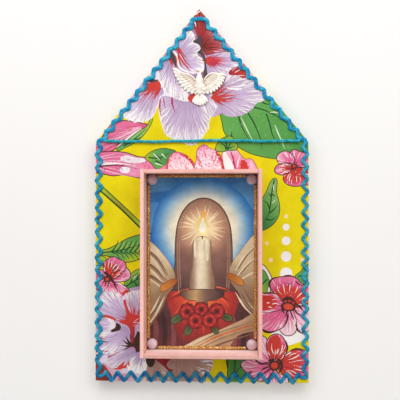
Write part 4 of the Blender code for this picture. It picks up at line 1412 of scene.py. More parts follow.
def cloth_finish(span):
    """Printed cotton: a plain weave over the inks, which sit unevenly in it."""
    made = Finish("cloth_print", Roughness=0.9, Specular_IOR_Level=0.12)
    chart = made.node("ShaderNodeUVMap", {"uv_map": "OFBake"}).outputs["UV"]
    threads = 2 * math.pi * span / THREAD_PITCH / WAVE_TEXTURE_RATE
    waves = []
    for direction in ("X", "Y"):
        bands = {"wave_type": "BANDS", "bands_direction": direction}
        wave = made.node("ShaderNodeTexWave", bands, Vector=chart, Scale=threads, Distortion=1.2, Detail=1.0,
                         Detail_Scale=0.4)
        waves.append(wave.outputs["Fac"])
    weave = made.combine("MAXIMUM", *waves)
    place = made.place()
    toned = made.mottled(
        made.layer("print"), made.noise(place, 90, 4), [(0.3, (238, 236, 232)), (0.7, FULL)]
    )
    made.colour(made.mottled(toned, weave, [(0.2, (226, 224, 220)), (0.75, FULL)], 0.8))
    made.rough(made.noise(place, 400, 2), 0.82, 0.95)
    made.bump(weave, 0.25, 0.00012)
    return made.material


def braid_finish(name, deep, middle, pale, fineness):
    """Woven blue thread: fine threads, uneven dye, and painted shade between threads and towards the base."""
    made = Finish(name, Roughness=0.8, Specular_IOR_Level=0.2)
    place = made.place()
    thread_and_shade = made.noise(place, fineness)
    tone = made.noise(place, 380, 4)
    shade = made.ramp(tone, [(0.34, deep), (0.5, middle), (0.66, pale)])
    # Painted shade: the braid darkens towards the base and is paler with the height
    height = made.spread(made.axis(place, "Z"), 0.0, BOARD_EAVE, 0.0, 1.0)
    shaded_by_height = made.mottled(shade, height, BRAID_SHADE_BY_HEIGHT)
    # The fine thread flecks also darken the colour, partly as painted shade between threads
    made.colour(made.mottled(shaded_by_height, thread_and_shade, [(0.32, (120, 138, 156)), (0.62, FULL)], 0.85))
    made.rough(tone, 0.6, 0.9, 0.2, 0.8)
    made.bump(thread_and_shade, 0.5, 0.00018)
    return made.material


def painted_wood_finish(name, grain, rim_level, foot_level, inward, inner_light_tone, rim_tone):
    """Pink emulsion on thin wood: brush marks along the grain and a worn front edge.

    The faces that look inward take on painted light and shade towards their foot, in a tone given for each
    wall.
    """
    made = Finish(name, Roughness=0.55)
    place = made.place()
    depth = made.axis(place, "Y")
    brush = made.noise(made.scaled(place, grain), 1, 5, 0.65)
    patch = made.noise(place, 140, 4)
    coat = made.ramp(brush, [(0.25, (240, 186, 180)), (0.5, (247, 202, 197)), (0.8, (251, 214, 210))])
    toned = made.mottled(coat, patch, [(0.3, (232, 222, 220)), (0.7, FULL)], 0.7)
    # Painted light and shade inside the box: inward faces blend towards their given tone with depth
    normal = made.node("ShaderNodeNewGeometry").outputs["True Normal"]
    facing = made.node("ShaderNodeVectorMath", {"operation": "DOT_PRODUCT"}, i0=normal, i1=inward)
    low_down = made.spread(depth, rim_level + INNER_LIGHT_START, foot_level, 0.0, 0.75)
    inner_light_share = made.combine("MULTIPLY", facing.outputs["Value"], low_down, clamp=True)
    inner_lit = made.mix(inner_light_share, toned, light_colour(inner_light_tone))
    rim = made.spread(depth, rim_level + RIM_BAND[0], rim_level + RIM_BAND[1], 0.5, 0.0)
    rimmed = made.mix(rim, inner_lit, light_colour(rim_tone))
    near = made.spread(depth, rim_level, rim_level + WEAR_BAND, 1.0, 0.0)
    spots = made.spread(made.noise(place, 700, 5, 0.7), 0.6, 0.66, 0.0, 0.75)
    made.colour(made.mix(made.combine("MULTIPLY", near, spots), rimmed, light_colour(BARE_WOOD)))
    made.rough(patch, 0.45, 0.68, 0.25, 0.75)
    made.bump(brush, 0.25, 0.0002)
    return made.material


def fibre_finish(name, stops, scale, rough):
    """Fibreboard or paper: flecks and short fibres over a plain tone."""
    made = Finish(name, Roughness=rough)
    place = made.place()
    cloud = made.noise(place, scale, 6, 0.7)
    fleck = made.noise(made.scaled(place, (1, 1, 0.4)), scale * 15)
    made.colour(made.mottled(made.ramp(cloud, stops), fleck, [(0.3, (190, 178, 160)), (0.6, FULL)], 0.6))
    made.rough(fleck, rough - 0.08, min(1.0, rough + 0.06))
    made.bump(fleck, 0.2, 0.0002)
    return made.material


def metal_finish(name, stops, rough):
    """Brass-plated steel: faint draw lines and patches of darker tone."""
    made = Finish(name, Metallic=1.0, Roughness=rough)
    place = made.place()
    line = made.noise(made.scaled(place, (900, 900, 4000)), 1)
    made.colour(made.ramp(made.noise(place, 300, 5, 0.65), stops))
    made.rough(line, rough - 0.08, rough + 0.12)
    made.bump(line, 0.08, 0.0001)
    return made.material


def glitter_finish():
    """Gold flakes, each with its own tint, set in clear glue."""
    made = Finish("glitter_gold", Metallic=0.35, Roughness=0.3)
    grain = made.noise(made.place(), 2600, 2)
    dulling = [(0.3, (220, 200, 170)), (0.7, (255, 252, 244))]
    made.colour(made.mottled(made.layer("tint"), grain, dulling, 0.5))
    made.rough(grain, 0.18, 0.45)
    made.bump(grain, 0.3, 0.0001)
    return made.material


def pearl_finish():
    """Pearl lacquer: pink-white with a clear coat and a faint swirl."""
    made = Finish("pearl_lacquer", Roughness=0.4, Coat_Weight=0.35, Coat_Roughness=0.2)
    place = made.place()
    swirl = made.noise(place, 420, 3, 0.5)
    made.colour(made.ramp(swirl, [(0.3, (198, 172, 180)), (0.55, (212, 190, 198)), (0.8, (224, 206, 210))]))
    made.rough(swirl, 0.34, 0.48)
    made.bump(made.noise(place, 900, 2), 0.03, 0.0001)
    return made.material


def resin_finish():
    """Ivory resin with pearl paint; the tint layer holds the beak's gold and painted shade at the wing roots.
    """
    made = Finish("dove_resin", Roughness=0.4, Coat_Weight=0.2, Coat_Roughness=0.25)
    place = made.place()
    cloud = made.noise(place, 500, 5)
    made.colour(made.mottled(made.layer("tint"), cloud, [(0.3, (226, 216, 204)), (0.65, FULL)], 0.8))
    made.rough(cloud, 0.3, 0.5)
    made.bump(made.noise(place, 1500), 0.12, 0.0001)
    return made.material


def card_finish():
    """Printed card under a thin gloss varnish, with a faint print grain."""
    made = Finish("card_print", Roughness=0.4, Coat_Weight=0.15, Coat_Roughness=0.2)
    place = made.place()
    grain = made.noise(place, 1800, 2)
    cloud = made.noise(place, 150, 5)
    toned = made.mottled(made.layer("print"), cloud, [(0.3, (224, 222, 220)), (0.7, FULL)])
    made.colour(made.mottled(toned, grain, [(0.3, (226, 226, 226)), (0.7, FULL)], 0.5))
    made.rough(cloud, 0.34, 0.5)
    made.bump(grain, 0.05, 0.0001)
    return made.material


def set_material(thing, material):
    thing.data.materials.clear()
    thing.data.materials.append(material)


# Solid pieces made of rings of points

def node_box(name):
    """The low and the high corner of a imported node."""
    return [np.array(corner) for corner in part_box(name)]


def waver(waves, place):
    """The sum of waves, each an amount, a rate and a start."""
    return sum(amount * np.sin(rate * place + start) for amount, rate, start in waves)


def loft(rings, loop=False):
    """Points and faces between rings of equal length, with capped ends unless the run closes on itself."""
    rings = np.asarray(rings)
    count, size = rings.shape[:2]
    faces = []
    for ring in range(count if loop else count - 1):
        here, ahead = ring * size, (ring + 1) % count * size
        faces.extend((here + side, here + (side + 1) % size, ahead + (side + 1) % size, ahead + side)
                     for side in range(size))
    if not loop:
        faces.append(tuple(range(size)))
        faces.append(tuple((count - 1) * size + side for side in range(size)))
    return rings.reshape(-1, 3), faces


class Pile:
    """Several closed shapes that make one piece, each face with its own tint."""

    def __init__(self):
        self.points = []
        self.faces = []
        self.tints = []

    def add(self, points, faces, tint=FULL):
        first = len(self.points)
        self.points.extend(tuple(point) for point in points)
        self.faces.extend(tuple(first + index for index in face) for face in faces)
        self.tints.extend([tint] * len(faces))

    def piece(self, name, material, body, nodes, smooth_shade=True):
        mesh = bpy.data.meshes.new(name)
        mesh.from_pydata(self.points, [], self.faces)
        shape = bmesh.new()
        shape.from_mesh(mesh)
        bmesh.ops.recalc_face_normals(shape, faces=shape.faces)
        shape.to_mesh(mesh)
        shape.free()
        mesh.polygons.foreach_set("use_smooth", np.full(len(mesh.polygons), smooth_shade))
        sides = np.empty(len(mesh.polygons), int)
        mesh.polygons.foreach_get("loop_total", sides)
        tints = np.ones((sides.sum(), 4))
        tints[:, :3] = screen_to_light(np.repeat(np.array(self.tints), sides, axis=0))
        layer = mesh.color_attributes.new("tint", "FLOAT_COLOR", "CORNER")
        layer.data.foreach_set("color", tints.reshape(-1))
        made = add_object(name, mesh)
        set_material(made, material)
        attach(made, body)
        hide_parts(*nodes)


# The cloth round the board

def side_directions(corners):
    """Unit directions along the sides of an outline, the outward normals and the lengths."""
    along = np.roll(corners, -1, 0) - corners
    lengths = np.linalg.norm(along, axis=1)
    along = along / lengths[:, None]
    return along, np.column_stack([along[:, 1], -along[:, 0]]), lengths


def house_corners(grow, base_lift=0.0):
    """The board's gabled outline in metres, moved out by a distance, from the left end of the base."""
    base = BOARD_BASE + base_lift
    corners = np.array([
        (-BOARD_HALF_WIDTH, base), (BOARD_HALF_WIDTH, base), (BOARD_HALF_WIDTH, BOARD_EAVE),
        (RIDGE_SHIFT, BOARD_RIDGE), (-BOARD_HALF_WIDTH, BOARD_EAVE),
    ])
    after = side_directions(corners)[1]
    before = np.roll(after, 1, 0)
    return corners + (before + after) * grow / (1 + np.sum(before * after, axis=1))[:, None]


class Fold:
    """How the flat cut wraps the board: front, five edge strips, five mitred flaps."""

    ROUNDING = 0.0006

    def __init__(self):
        self.corners = house_corners(SKIN)
        self.along, self.out, self.lengths = side_directions(self.corners)
        self.edge = CLOTH_BACK - CLOTH_FRONT
        turning = np.arccos(np.clip(np.sum(self.out * np.roll(self.out, 1, 0), axis=1), -1, 1))
        self.mitre = np.tan(turning / 2)

    def regions(self):
        """The outlines of front, strips and flaps in flat millimetres."""
        found = [self.corners / MM]
        for index in range(len(self.corners)):
            start, way, out = self.corners[index], self.along[index], self.out[index]
            end = start + way * self.lengths[index]
            depth, turn_in = out * self.edge, out * (self.edge + CLOTH_TURN_IN)
            begin_cut = way * CLOTH_TURN_IN * self.mitre[index]
            end_cut = way * CLOTH_TURN_IN * self.mitre[(index + 1) % len(self.corners)]
            flap_start, flap_end = start + turn_in + begin_cut, end + turn_in - end_cut
            found.append(np.array([start, start + depth, end + depth, end]) / MM)
            found.append(np.array([start + depth, flap_start, flap_end, end + depth]) / MM)
        return found

    def guides(self):
        """Lines just inside the front edge where the cloth starts to round over."""
        return [house_corners(SKIN - self.ROUNDING * share) / MM for share in (0.35, 0.7, 1.0)]

    def area(self):
        return sum(abs(signed_area(outline)) for outline in self.regions()) * MM * MM

    def rounded(self, across):
        """Inset from the edge and depth behind the front for a distance across a fold."""
        angle = (np.clip(across / self.ROUNDING, -1, 1) + 1) * math.pi / 4
        return self.ROUNDING * (1 - math.sin(angle)), self.ROUNDING * (1 - math.cos(angle))

    def place(self, point):
        """Where a flat point in millimetres lies on the board: the front, an edge or the turned-in back."""
        point = np.asarray(point) * MM
        across = np.sum((point - self.corners) * self.out, axis=1)
        side = int(np.argmax(across))
        beyond = across[side]
        spot, depth = point.copy(), 0.0
        if beyond <= FLAT_TOLERANCE:
            for index in range(len(across)):
                if across[index] > -self.ROUNDING:
                    inset, sink = self.rounded(across[index])
                    spot = spot - self.out[index] * (inset + across[index])
                    depth = max(depth, sink)
            return spot[0], CLOTH_FRONT + depth, spot[1]
        on_edge = point - self.out[side] * beyond
        if beyond < self.edge / 2:
            inset, sink = self.rounded(beyond)
            level = CLOTH_FRONT + (sink if beyond < self.ROUNDING else beyond)
        else:
            past = beyond - self.edge
            sink, inset = self.rounded(past)
            if past > self.ROUNDING:
                inset = past
            level = CLOTH_BACK - (sink if abs(past) < self.ROUNDING else max(0.0, -past))
        spot = on_edge - self.out[side] * inset
        return spot[0], level, spot[1]


def make_cloth():
    fold = Fold()
    regions = fold.regions()
    cloth = printed_mesh("printed_cloth", draw_cloth(), regions, fold.guides(), CLOTH_GRID, fold.place)
    flat_all = np.vstack(regions) * MM
    width, length = flat_all.max(axis=0) - flat_all.min(axis=0)
    set_material(cloth, cloth_finish(max(width, length)))
    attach(cloth, "plaque")
    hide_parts("fabric_cover")
    fold.area()


# Wave braid and cord

def braid_path(step):
    """The braid's middle line from mid base round to it: points, outward normals, places and length."""
    corners = house_corners(SKIN - BRAID_INSET - BRAID_CORNER, BRAID_BASE_LIFT)
    along, out, lengths = side_directions(corners)
    bends = np.arccos(np.clip(np.sum(out * np.roll(out, -1, 0), axis=1), -1, 1))
    points, normals = [], []
    for side in range(len(corners)):
        for place in np.arange(0, lengths[side], step):
            points.append(corners[side] + along[side] * place + out[side] * BRAID_CORNER)
            normals.append(out[side])
        corner = corners[(side + 1) % len(corners)]
        for turn in np.arange(0, bends[side], step / BRAID_CORNER):
            normal = np.array(Matrix.Rotation(turn, 2) @ Vector(out[side]))
            points.append(corner + normal * BRAID_CORNER)
            normals.append(normal)
    first = int(lengths[0] / 2 / step)
    points, normals = np.roll(points, -first, axis=0), np.roll(normals, -first, axis=0)
    gaps = np.linalg.norm(np.roll(points, -1, 0) - points, axis=1)
    return points, normals, np.concatenate([[0], np.cumsum(gaps)[:-1]]), gaps.sum()


def braid_waves():
    """The waving middle line of the braid and its width at each point."""
    points, normals, places, length = braid_path(BRAID_STEP)
    lap = 2 * math.pi * places / length
    base_share = np.clip(-normals[:, 1], 0, 1) ** 2
    roof_share = (normals[:, 1] > 0.1).astype(float)
    left_share = np.clip(-normals[:, 0], 0, 1) ** 4
    swing = BRAID_SWING + (BRAID_BASE_SWING - BRAID_SWING) * base_share
    swing = swing + (BRAID_ROOF_SWING - BRAID_SWING) * roof_share
    swing = swing * (1 - BRAID_RIDGE_CALM * np.exp(-((places - length / 2) / BRAID_RIDGE_SPAN) ** 2))
    swing = swing * (1 + waver(BRAID_SWELL, lap))
    waves = 2 * round((length / BRAID_PITCH - 1) / 2) + 1
    phase = waves * lap + waver(BRAID_DRIFT, lap) - waver(BRAID_DRIFT, 0)
    sharp = BRAID_SHARPNESS * (BRAID_SIDE_SHARPNESS + (1 - BRAID_SIDE_SHARPNESS) * base_share)
    wave = swing * (np.cos(phase) + sharp * np.cos(3 * phase)) / (1 + sharp)
    widths = BRAID_WIDTH * (1 + BRAID_LEFT_EXTRA * left_share + BRAID_ROOF_EXTRA * roof_share)
    return points + normals * wave[:, None], widths


def make_braid():
    """A round-backed woven band in waves round the edge, its ends butted in the middle of the base."""
    middle, widths = braid_waves()
    heading = np.gradient(middle, axis=0)
    pace = np.linalg.norm(heading, axis=1)
    heading /= pace[:, None]
    side = np.column_stack([heading[:, 1], -heading[:, 0]])
    bend = np.sum(np.gradient(heading, axis=0) * side, axis=1) / pace
    ribs = 1 + BRAID_RIB_HEIGHT * np.sin(2 * math.pi * np.cumsum(pace) / BRAID_RIB)
    rings = []
    for index in range(len(middle)):
        ring = []
        for angle in np.linspace(0, math.pi, BRAID_SIDES):
            reach = abs(math.cos(angle)) ** BRAID_SIDE_POWER * widths[index] / 2
            if math.cos(angle) * bend[index] > 0:
                reach = min(reach, BRAID_BEND_SHARE / abs(bend[index]))
            height = BRAID_THICKNESS * math.sin(angle) ** BRAID_BACK_POWER * ribs[index]
            spot = middle[index] + side[index] * math.copysign(reach, math.cos(angle))
            ring.append((spot[0], CLOTH_FRONT - GLUE_GAP / 2 - height, spot[1]))
        rings.append(ring)
    pile = Pile()
    pile.add(*loft(rings))
    finish = braid_finish("braid_blue", (8, 120, 184), (32, 170, 212), (88, 206, 228), BRAID_FINENESS)
    pile.piece("wave_braid", finish, "plaque", ["rickrack_trim"])


def make_eave_cord():
    """Strands twisted together along the eaves, tucked against the braid at both ends."""
    low, high = node_box("eave_cord")
    middle = (low + high) / 2
    reach = (high[0] - low[0]) / 2 + CORD_TUCK
    strand, orbit = CORD_STRAND_SHARE * CORD_THICKNESS, CORD_ORBIT_SHARE * CORD_THICKNESS
    level = CLOTH_FRONT - GLUE_GAP / 2 - CORD_THICKNESS / 2
    pile = Pile()
    for number in range(CORD_STRANDS):
        rings = []
        for x in np.arange(middle[0] - reach, middle[0] + reach, CORD_STEP):
            turn = 2 * math.pi * (x / CORD_LAY + number / CORD_STRANDS)
            rise = orbit * math.sin(turn) + waver(CORD_SWAY, x)
            radius = strand * (1 - CORD_PINCH * max(0.0, math.sin(x * CORD_PINCH_RATE)) ** 8)
            centre = np.array([x, level + orbit * math.cos(turn), middle[2] + rise])
            rings.append([
                centre + radius * np.array([0, math.cos(angle), math.sin(angle)]) for angle in turns(10)
            ])
        pile.add(*loft(rings))
    finish = braid_finish("cord_blue", (14, 150, 172), (44, 190, 204), (88, 212, 220), CORD_FINENESS)
    pile.piece("twisted_cord", finish, "plaque", ["eave_cord"])


# Box, glitter and pearls

# Painted light and shade for the box's inner faces: a warm shade with glitter bounce on the top wall and
# floor, a peach light on the side walls, and a pale pink light on the upward-facing bottom wall
GOLD_BOUNCE_SHADE = (240, 170, 134)
PEACH_INNER_LIGHT = (255, 198, 160)
PINK_INNER_LIGHT = (254, 234, 231)
RIM_PINK = (246, 186, 172)
RIM_ROSE = (222, 158, 138)
RIM_BROWN = (190, 132, 112)
GLUE_GOLD = (190, 128, 62)
FLAKE_GOLDS = [
    (196, 142, 58), (214, 160, 70), (230, 182, 92), (244, 214, 132), (255, 242, 196), (156, 106, 48),
]


def finish_box():
    rim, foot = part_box("box_left_wall")[0][1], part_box("picture_card")[0][1]
    upright, level = (900, 900, 60), (60, 900, 900)
    # Each wall's inner face blends towards its painted light or shade tone with depth
    for name, grain, inward, inner_light_tone, rim_tone in (
        ("box_left_wall", upright, (1, 0, 0), PEACH_INNER_LIGHT, RIM_PINK),
        ("box_right_wall", upright, (-1, 0, 0), PEACH_INNER_LIGHT, RIM_ROSE),
        ("box_top_wall", level, (0, 0, -1), GOLD_BOUNCE_SHADE, RIM_ROSE),
        ("box_bottom_wall", level, (0, 0, 1), PINK_INNER_LIGHT, RIM_BROWN),
        ("box_floor", upright, (0, -1, 0), GOLD_BOUNCE_SHADE, RIM_ROSE),
    ):
        finish = painted_wood_finish(name + "_paint", grain, rim, foot, inward, inner_light_tone, rim_tone)
        set_material(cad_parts[name], finish)


def make_card():
    """The printed card on the box floor."""
    low, high = node_box("picture_card")
    middle, half = (low + high) / 2, (high - low) / 2
    signs = np.array([(-1, -1), (1, -1), (1, 1), (-1, 1)])
    card = printed_mesh("picture_print", draw_card_art(), [signs * half[[0, 2]] / MM], [], CARD_GRID,
                        lambda point: (middle[0] + point[0] * MM, low[1], middle[2] + point[1] * MM))
    thick = card.modifiers.new("thickness", "SOLIDIFY")
    thick.thickness = high[1] - low[1]
    thick.offset = -1
    set_material(card, card_finish())
    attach(card, "plaque")
    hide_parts("picture_card")


def add_flake(pile, centre, facing, size, spin, tint):
    """A thin six-sided flake."""
    turn = facing.to_track_quat("Z", "X").to_matrix()
    corners = [Vector((size * math.cos(spin + step), size * math.sin(spin + step), 0)) for step in turns(6)]
    top = [Vector(centre) + turn @ corner for corner in corners]
    foot = [corner - turn @ Vector((0, 0, FLAKE_THICKNESS)) for corner in top]
    pile.add(*loft([top, foot]), tint)


def make_glitter_line(name, finish, chance):
    """A half-round glue line crowded with gold flakes of many tints."""
    low, high = node_box(name)
    upright = high[2] - low[2] > high[0] - low[0]
    run, cross = (2, 0) if upright else (0, 2)
    middle = (low[cross] + high[cross]) / 2
    half, height = (high[cross] - low[cross]) / 2, high[1] - low[1]

    def on_line(place, angle, share):
        spot = np.zeros(3)
        spot[run] = place
        spot[cross] = middle + half * share * math.cos(angle)
        spot[1] = high[1] - height * share * math.sin(angle)
        return spot

    pile = Pile()
    rings = []
    for place in np.arange(low[run], high[run], GLUE_STEP):
        fullness = GLUE_FULLNESS + GLUE_LUMP * math.prod(math.sin(place * rate) for rate in GLUE_RATES)
        rings.append([on_line(place, angle, fullness) for angle in np.linspace(0, math.pi, 9)])
    pile.add(*loft(rings), GLUE_GOLD)
    for _ in range(int((high[run] - low[run]) * FLAKES_PER_METRE)):
        angle = chance.uniform(0.05, 0.95) * math.pi
        centre = on_line(chance.uniform(low[run] + FLAKE_END, high[run] - FLAKE_END), angle, FLAKE_DEPTH)
        facing = Vector((0, 0, 0))
        facing[cross] = math.cos(angle) / half
        facing[1] = -math.sin(angle) / height
        tilt = Vector([chance.uniform(-FLAKE_TILT, FLAKE_TILT) for _ in range(3)])
        size = chance.uniform(*FLAKE_SIZES)
        spin = chance.uniform(0, math.pi)
        add_flake(pile, centre, facing.normalized() + tilt, size, spin, chance.choice(FLAKE_GOLDS))
    pile.piece(name + "_flakes", finish, "plaque", [name], smooth_shade=False)


def make_glitter(chance):
    finish = glitter_finish()
    for name in ("glitter_left", "glitter_right", "glitter_top", "glitter_bottom"):
        make_glitter_line(name, finish, chance)


def make_pearls():
    """Smooth half pearls with a turned-in foot."""
    finish = pearl_finish()
    for name in ("pearl_top_left", "pearl_top_right", "pearl_bottom_left", "pearl_bottom_right"):
        low, high = node_box(name)
        middle = (low + high) / 2
        radius, height = (high[0] - low[0]) / 2, high[1] - low[1]
        rings = []
        for lift in np.linspace(-PEARL_FOOT, math.pi / 2 - PEARL_CROWN, 18):
            across = radius * math.cos(lift)
            level = high[1] - height * (PEARL_FOOT + math.sin(lift)) / (1 + PEARL_FOOT)
            rings.append([(middle[0] + across * math.cos(turn), level, middle[2] + across * math.sin(turn))
                          for turn in turns(40)])
        pile = Pile()
        pile.add(*loft(rings))
        pile.piece(name + "_dome", finish, "plaque", [name])


# Dove, in millimetres from its own middle

IVORY = (251, 247, 240)
# A painted shade of the ivory, for the wing plates and the inner row of coverts by the arm
IVORY_SHADED = (224, 212, 198)
BEAK_GOLD = (196, 146, 44)
DOVE_FOOT = 0.02
WING_PLATE = 0.75

# Feathers: shares of the length and of the half width at which they have points, and their camber
FEATHER_PLACES = (0, 0.12, 0.28, 0.45, 0.62, 0.76, 0.87, 0.94, 0.985, 1.0)
FEATHER_SHARES = (-1, -0.7, -0.35, -0.08, 0.08, 0.35, 0.7, 1)
FEATHER_CAMBER = 0.4
FEATHER_QUILL = 0.08
FEATHER_EDGE = 0.36
FEATHER_ROUND_FROM = 0.6
FEATHER_ROUND_SPAN = 0.41
FEATHER_BEND = 0.2
FEATHER_STAGGER = 0.03

# Rows of a wing: count, start and end as shares of the way to the tip, width, height at both ends, tint
WING_ROWS = (
    (10, 0.1, 1.0, 2.3, 0.95, 0.8, IVORY),
    (9, 0.0, 0.62, 2.3, 1.4, 1.25, IVORY),
    (8, -0.25, 0.3, 1.9, 1.55, 1.6, IVORY_SHADED),
)

# The arm along a wing's leading edge: its radius and height at the body, and how much they lose to the tip
ARM_RADIUS = 0.72
ARM_TAPER = 0.4
ARM_LEVEL = 1.45
ARM_FALL = 0.55

# Each wing: curves of the leading edge, of the feathers' roots and of their tips
WINGS = (
    ([(-2.2, 4.4), (-6.4, 9.6), (-9, 6.8), (-15.15, 11)],
     [(-9.6, 8), (-7.4, 6.2), (-4.6, 3.8), (-1.6, 0.8)],
     [(-15.15, 11), (-14.2, 5.2), (-9.6, -3.6), (-2.2, -3.9)]),
    ([(2.4, 4.2), (5.6, 9.6), (8.4, 8.6), (14.8, 6.7)],
     [(9.2, 7.2), (7.2, 5.4), (4.8, 3.6), (1.6, 0.8)],
     [(14.8, 6.7), (13.8, 1.6), (9.6, -3.9), (2.4, -3.9)]),
)

# Cross-sections of body and head: height, sideways place, half width, thickness
DOVE_BODY = (
    (-4.4, 0.1, 0.9, 0.7), (-3.2, 0.1, 1.2, 0.9), (-1.4, 0.1, 1.8, 1.2), (0.6, 0.05, 2.2, 1.5),
    (2.4, 0, 2.4, 1.8), (4, -0.05, 2.3, 2.0), (5.3, -0.1, 1.9, 1.95), (6.4, -0.1, 1.5, 1.8),
    (7.4, -0.15, 1.2, 1.7), (8.4, -0.28, 1.15, 1.75), (9.2, -0.36, 1.1, 1.6), (9.9, -0.4, 0.75, 1.1),
    (10.2, -0.4, 0.2, 0.5),
)
DOVE_CORE = 0.9

# Rows of breast feathers: height, count, reach, level
BREAST_ROWS = ((-2.4, 4, 2.2, 1.9), (-0.9, 5, 2.9, 2.15), (0.8, 5, 3.0, 2.4))
BREAST_LENGTH = 1.9
BREAST_WIDTH = 1.5
BREAST_FALL = 0.15

# Tail and beak; the tail's start and spread are in degrees
TAIL_ROOT = np.array([0.1, -3.2])
TAIL_FEATHERS = 7
TAIL_START = -128
TAIL_SPREAD = 81
TAIL_LENGTH = 7
TAIL_WIDTH = 2.3
TAIL_HEIGHTS = (1.15, 0.85)
TAIL_STAGGER = 0.06
BEAK_ROOT = np.array([-0.15, 8.6])
BEAK_WAY = np.array([-1.4, 0.7])
BEAK_LEVEL = 2.45
BEAK_TAPER = ((0, 0.5), (0.4, 0.4), (0.8, 0.2), (1.0, 0.05))
BEAK_SQUEEZE = 0.45


def on_dove(x, z, height):
    """A point of the dove, from millimetres right of, above and in front of its own middle."""
    return DOVE_MIDDLE[0] + x * MM, CLOTH_FRONT - GLUE_GAP - height * MM, DOVE_MIDDLE[1] + z * MM


def bezier(points, place):
    a, b, c, d = (np.asarray(point, float) for point in points)
    rest = 1 - place
    return rest**3 * a + 3 * rest**2 * place * b + 3 * rest * place**2 * c + place**3 * d


def feather(pile, base, tip, width, base_height, tip_height, tint, bend=0.0):
    """A cambered blade with a raised middle and a round tip, solid down to the cloth."""
    base, tip = np.asarray(base, float), np.asarray(tip, float)
    way = tip - base
    across = np.array([-way[1], way[0]]) / np.linalg.norm(way)
    rings = []
    for place in FEATHER_PLACES:
        rounding = max(0.0, (place - FEATHER_ROUND_FROM) / FEATHER_ROUND_SPAN)
        spread = width / 2 * min(1.0, 0.6 + 0.8 * place) * math.sqrt(max(0.0, 1 - rounding**2))
        centre = base + way * place + across * bend * math.sin(math.pi * place)
        level = base_height + (tip_height - base_height) * place - FEATHER_EDGE
        ring = []
        for share in FEATHER_SHARES:
            camber = FEATHER_CAMBER * (1 - share * share) + (FEATHER_QUILL if abs(share) < 0.1 else 0)
            ring.append(on_dove(*(centre + across * spread * share), level + camber))
        ring.extend(on_dove(*(centre + across * spread * share), DOVE_FOOT) for share in (1, -1))
        rings.append(ring)
    pile.add(*loft(rings), tint)


def wing(pile, leading, roots, tips):
    """Flight feathers and two rows of coverts that fan out from the arm, below a raised leading edge."""
    rim = [bezier(leading, place) for place in np.linspace(0, 0.72, 12)]
    inner = [bezier(tips, place) * 0.45 + bezier(roots, place) * 0.55 for place in np.linspace(0.06, 1, 12)]
    plate = [[on_dove(*spot, level) for spot in rim + inner] for level in (WING_PLATE, DOVE_FOOT)]
    # The plate under the feathers takes the painted shade
    pile.add(*loft(plate), IVORY_SHADED)
    for count, start, end, width, base_height, tip_height, tint in WING_ROWS:
        between = end < 1
        for index in range(count):
            share = (index + 0.5 * between) / (count - 1 + between)
            root, tip = bezier(roots, share), bezier(tips, share)
            feather(pile, root + (tip - root) * start, root + (tip - root) * end, width, base_height,
                    tip_height - FEATHER_STAGGER * (index % 2), tint, FEATHER_BEND)
    arm = []
    for place in np.linspace(0, 1, 20):
        x, z = bezier(leading, place)
        radius, level = ARM_RADIUS - ARM_TAPER * place, ARM_LEVEL - ARM_FALL * place
        arm.append([on_dove(x, z + radius * (math.cos(turn) - 0.6), level + radius * math.sin(turn))
                    for turn in turns(10)])
    pile.add(*loft(arm), IVORY)


def make_dove():
    pile = Pile()
    for curves in WINGS:
        wing(pile, *curves)
    for index in range(TAIL_FEATHERS):
        turn = math.radians(TAIL_START + TAIL_SPREAD * index / (TAIL_FEATHERS - 1))
        way = np.array([math.cos(turn), math.sin(turn)])
        length = TAIL_LENGTH - 0.5 * abs(index - 3) / 3
        base, tip = TAIL_ROOT + way * 0.6, TAIL_ROOT + way * length
        tip_height = TAIL_HEIGHTS[1] + TAIL_STAGGER * (index % 2)
        feather(pile, base, tip, TAIL_WIDTH, TAIL_HEIGHTS[0], tip_height, IVORY)
    rings = []
    for z, x, half, thick in DOVE_BODY:
        rings.append([
            on_dove(x + half * math.cos(turn), z, max(DOVE_FOOT, DOVE_CORE + thick * math.sin(turn)))
            for turn in turns(24)
        ])
    pile.add(*loft(rings), IVORY)
    for z, count, reach, level in BREAST_ROWS:
        for index in range(count):
            share = 2 * (index + 0.5) / count - 1
            height = level - 0.5 * share * share
            root = np.array([0.1 + 0.8 * reach * share, z + 0.9])
            tip = root + (0.5 * share, -BREAST_LENGTH)
            feather(pile, root, tip, BREAST_WIDTH, height, height - BREAST_FALL, IVORY)
    beak = []
    for place, radius in BEAK_TAPER:
        x, z = BEAK_ROOT + place * BEAK_WAY
        beak.append([
            on_dove(x + BEAK_SQUEEZE * radius * math.sin(turn), z + radius * math.sin(turn),
                    BEAK_LEVEL + radius * math.cos(turn))
            for turn in turns(10)
        ])
    pile.add(*loft(beak), BEAK_GOLD)
    pile.piece("resin_dove", resin_finish(), "plaque", ["dove"])


# Board, lining and hanger

FIBREBOARD = [(0.3, (150, 112, 78)), (0.55, (172, 132, 94)), (0.8, (190, 150, 112))]
KRAFT_PAPER = [(0.3, (186, 156, 116)), (0.55, (200, 170, 130)), (0.8, (212, 184, 146))]
BRASS = [(0.25, (150, 112, 52)), (0.5, (200, 160, 84)), (0.8, (226, 192, 116))]
WIRE_BRASS = [(0.25, (156, 118, 56)), (0.5, (206, 166, 90)), (0.8, (232, 198, 124))]


def finish_back():
    for name, finish in (
        ("back_board", fibre_finish("fibreboard", FIBREBOARD, 120, 0.85)),
        ("back_lining", fibre_finish("kraft_paper", KRAFT_PAPER, 60, 0.8)),
        ("hanger_strap", metal_finish("strap_brass", BRASS, 0.32)),
        ("hanger_screw", metal_finish("screw_brass", BRASS, 0.36)),
    ):
        set_material(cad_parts[name], finish)


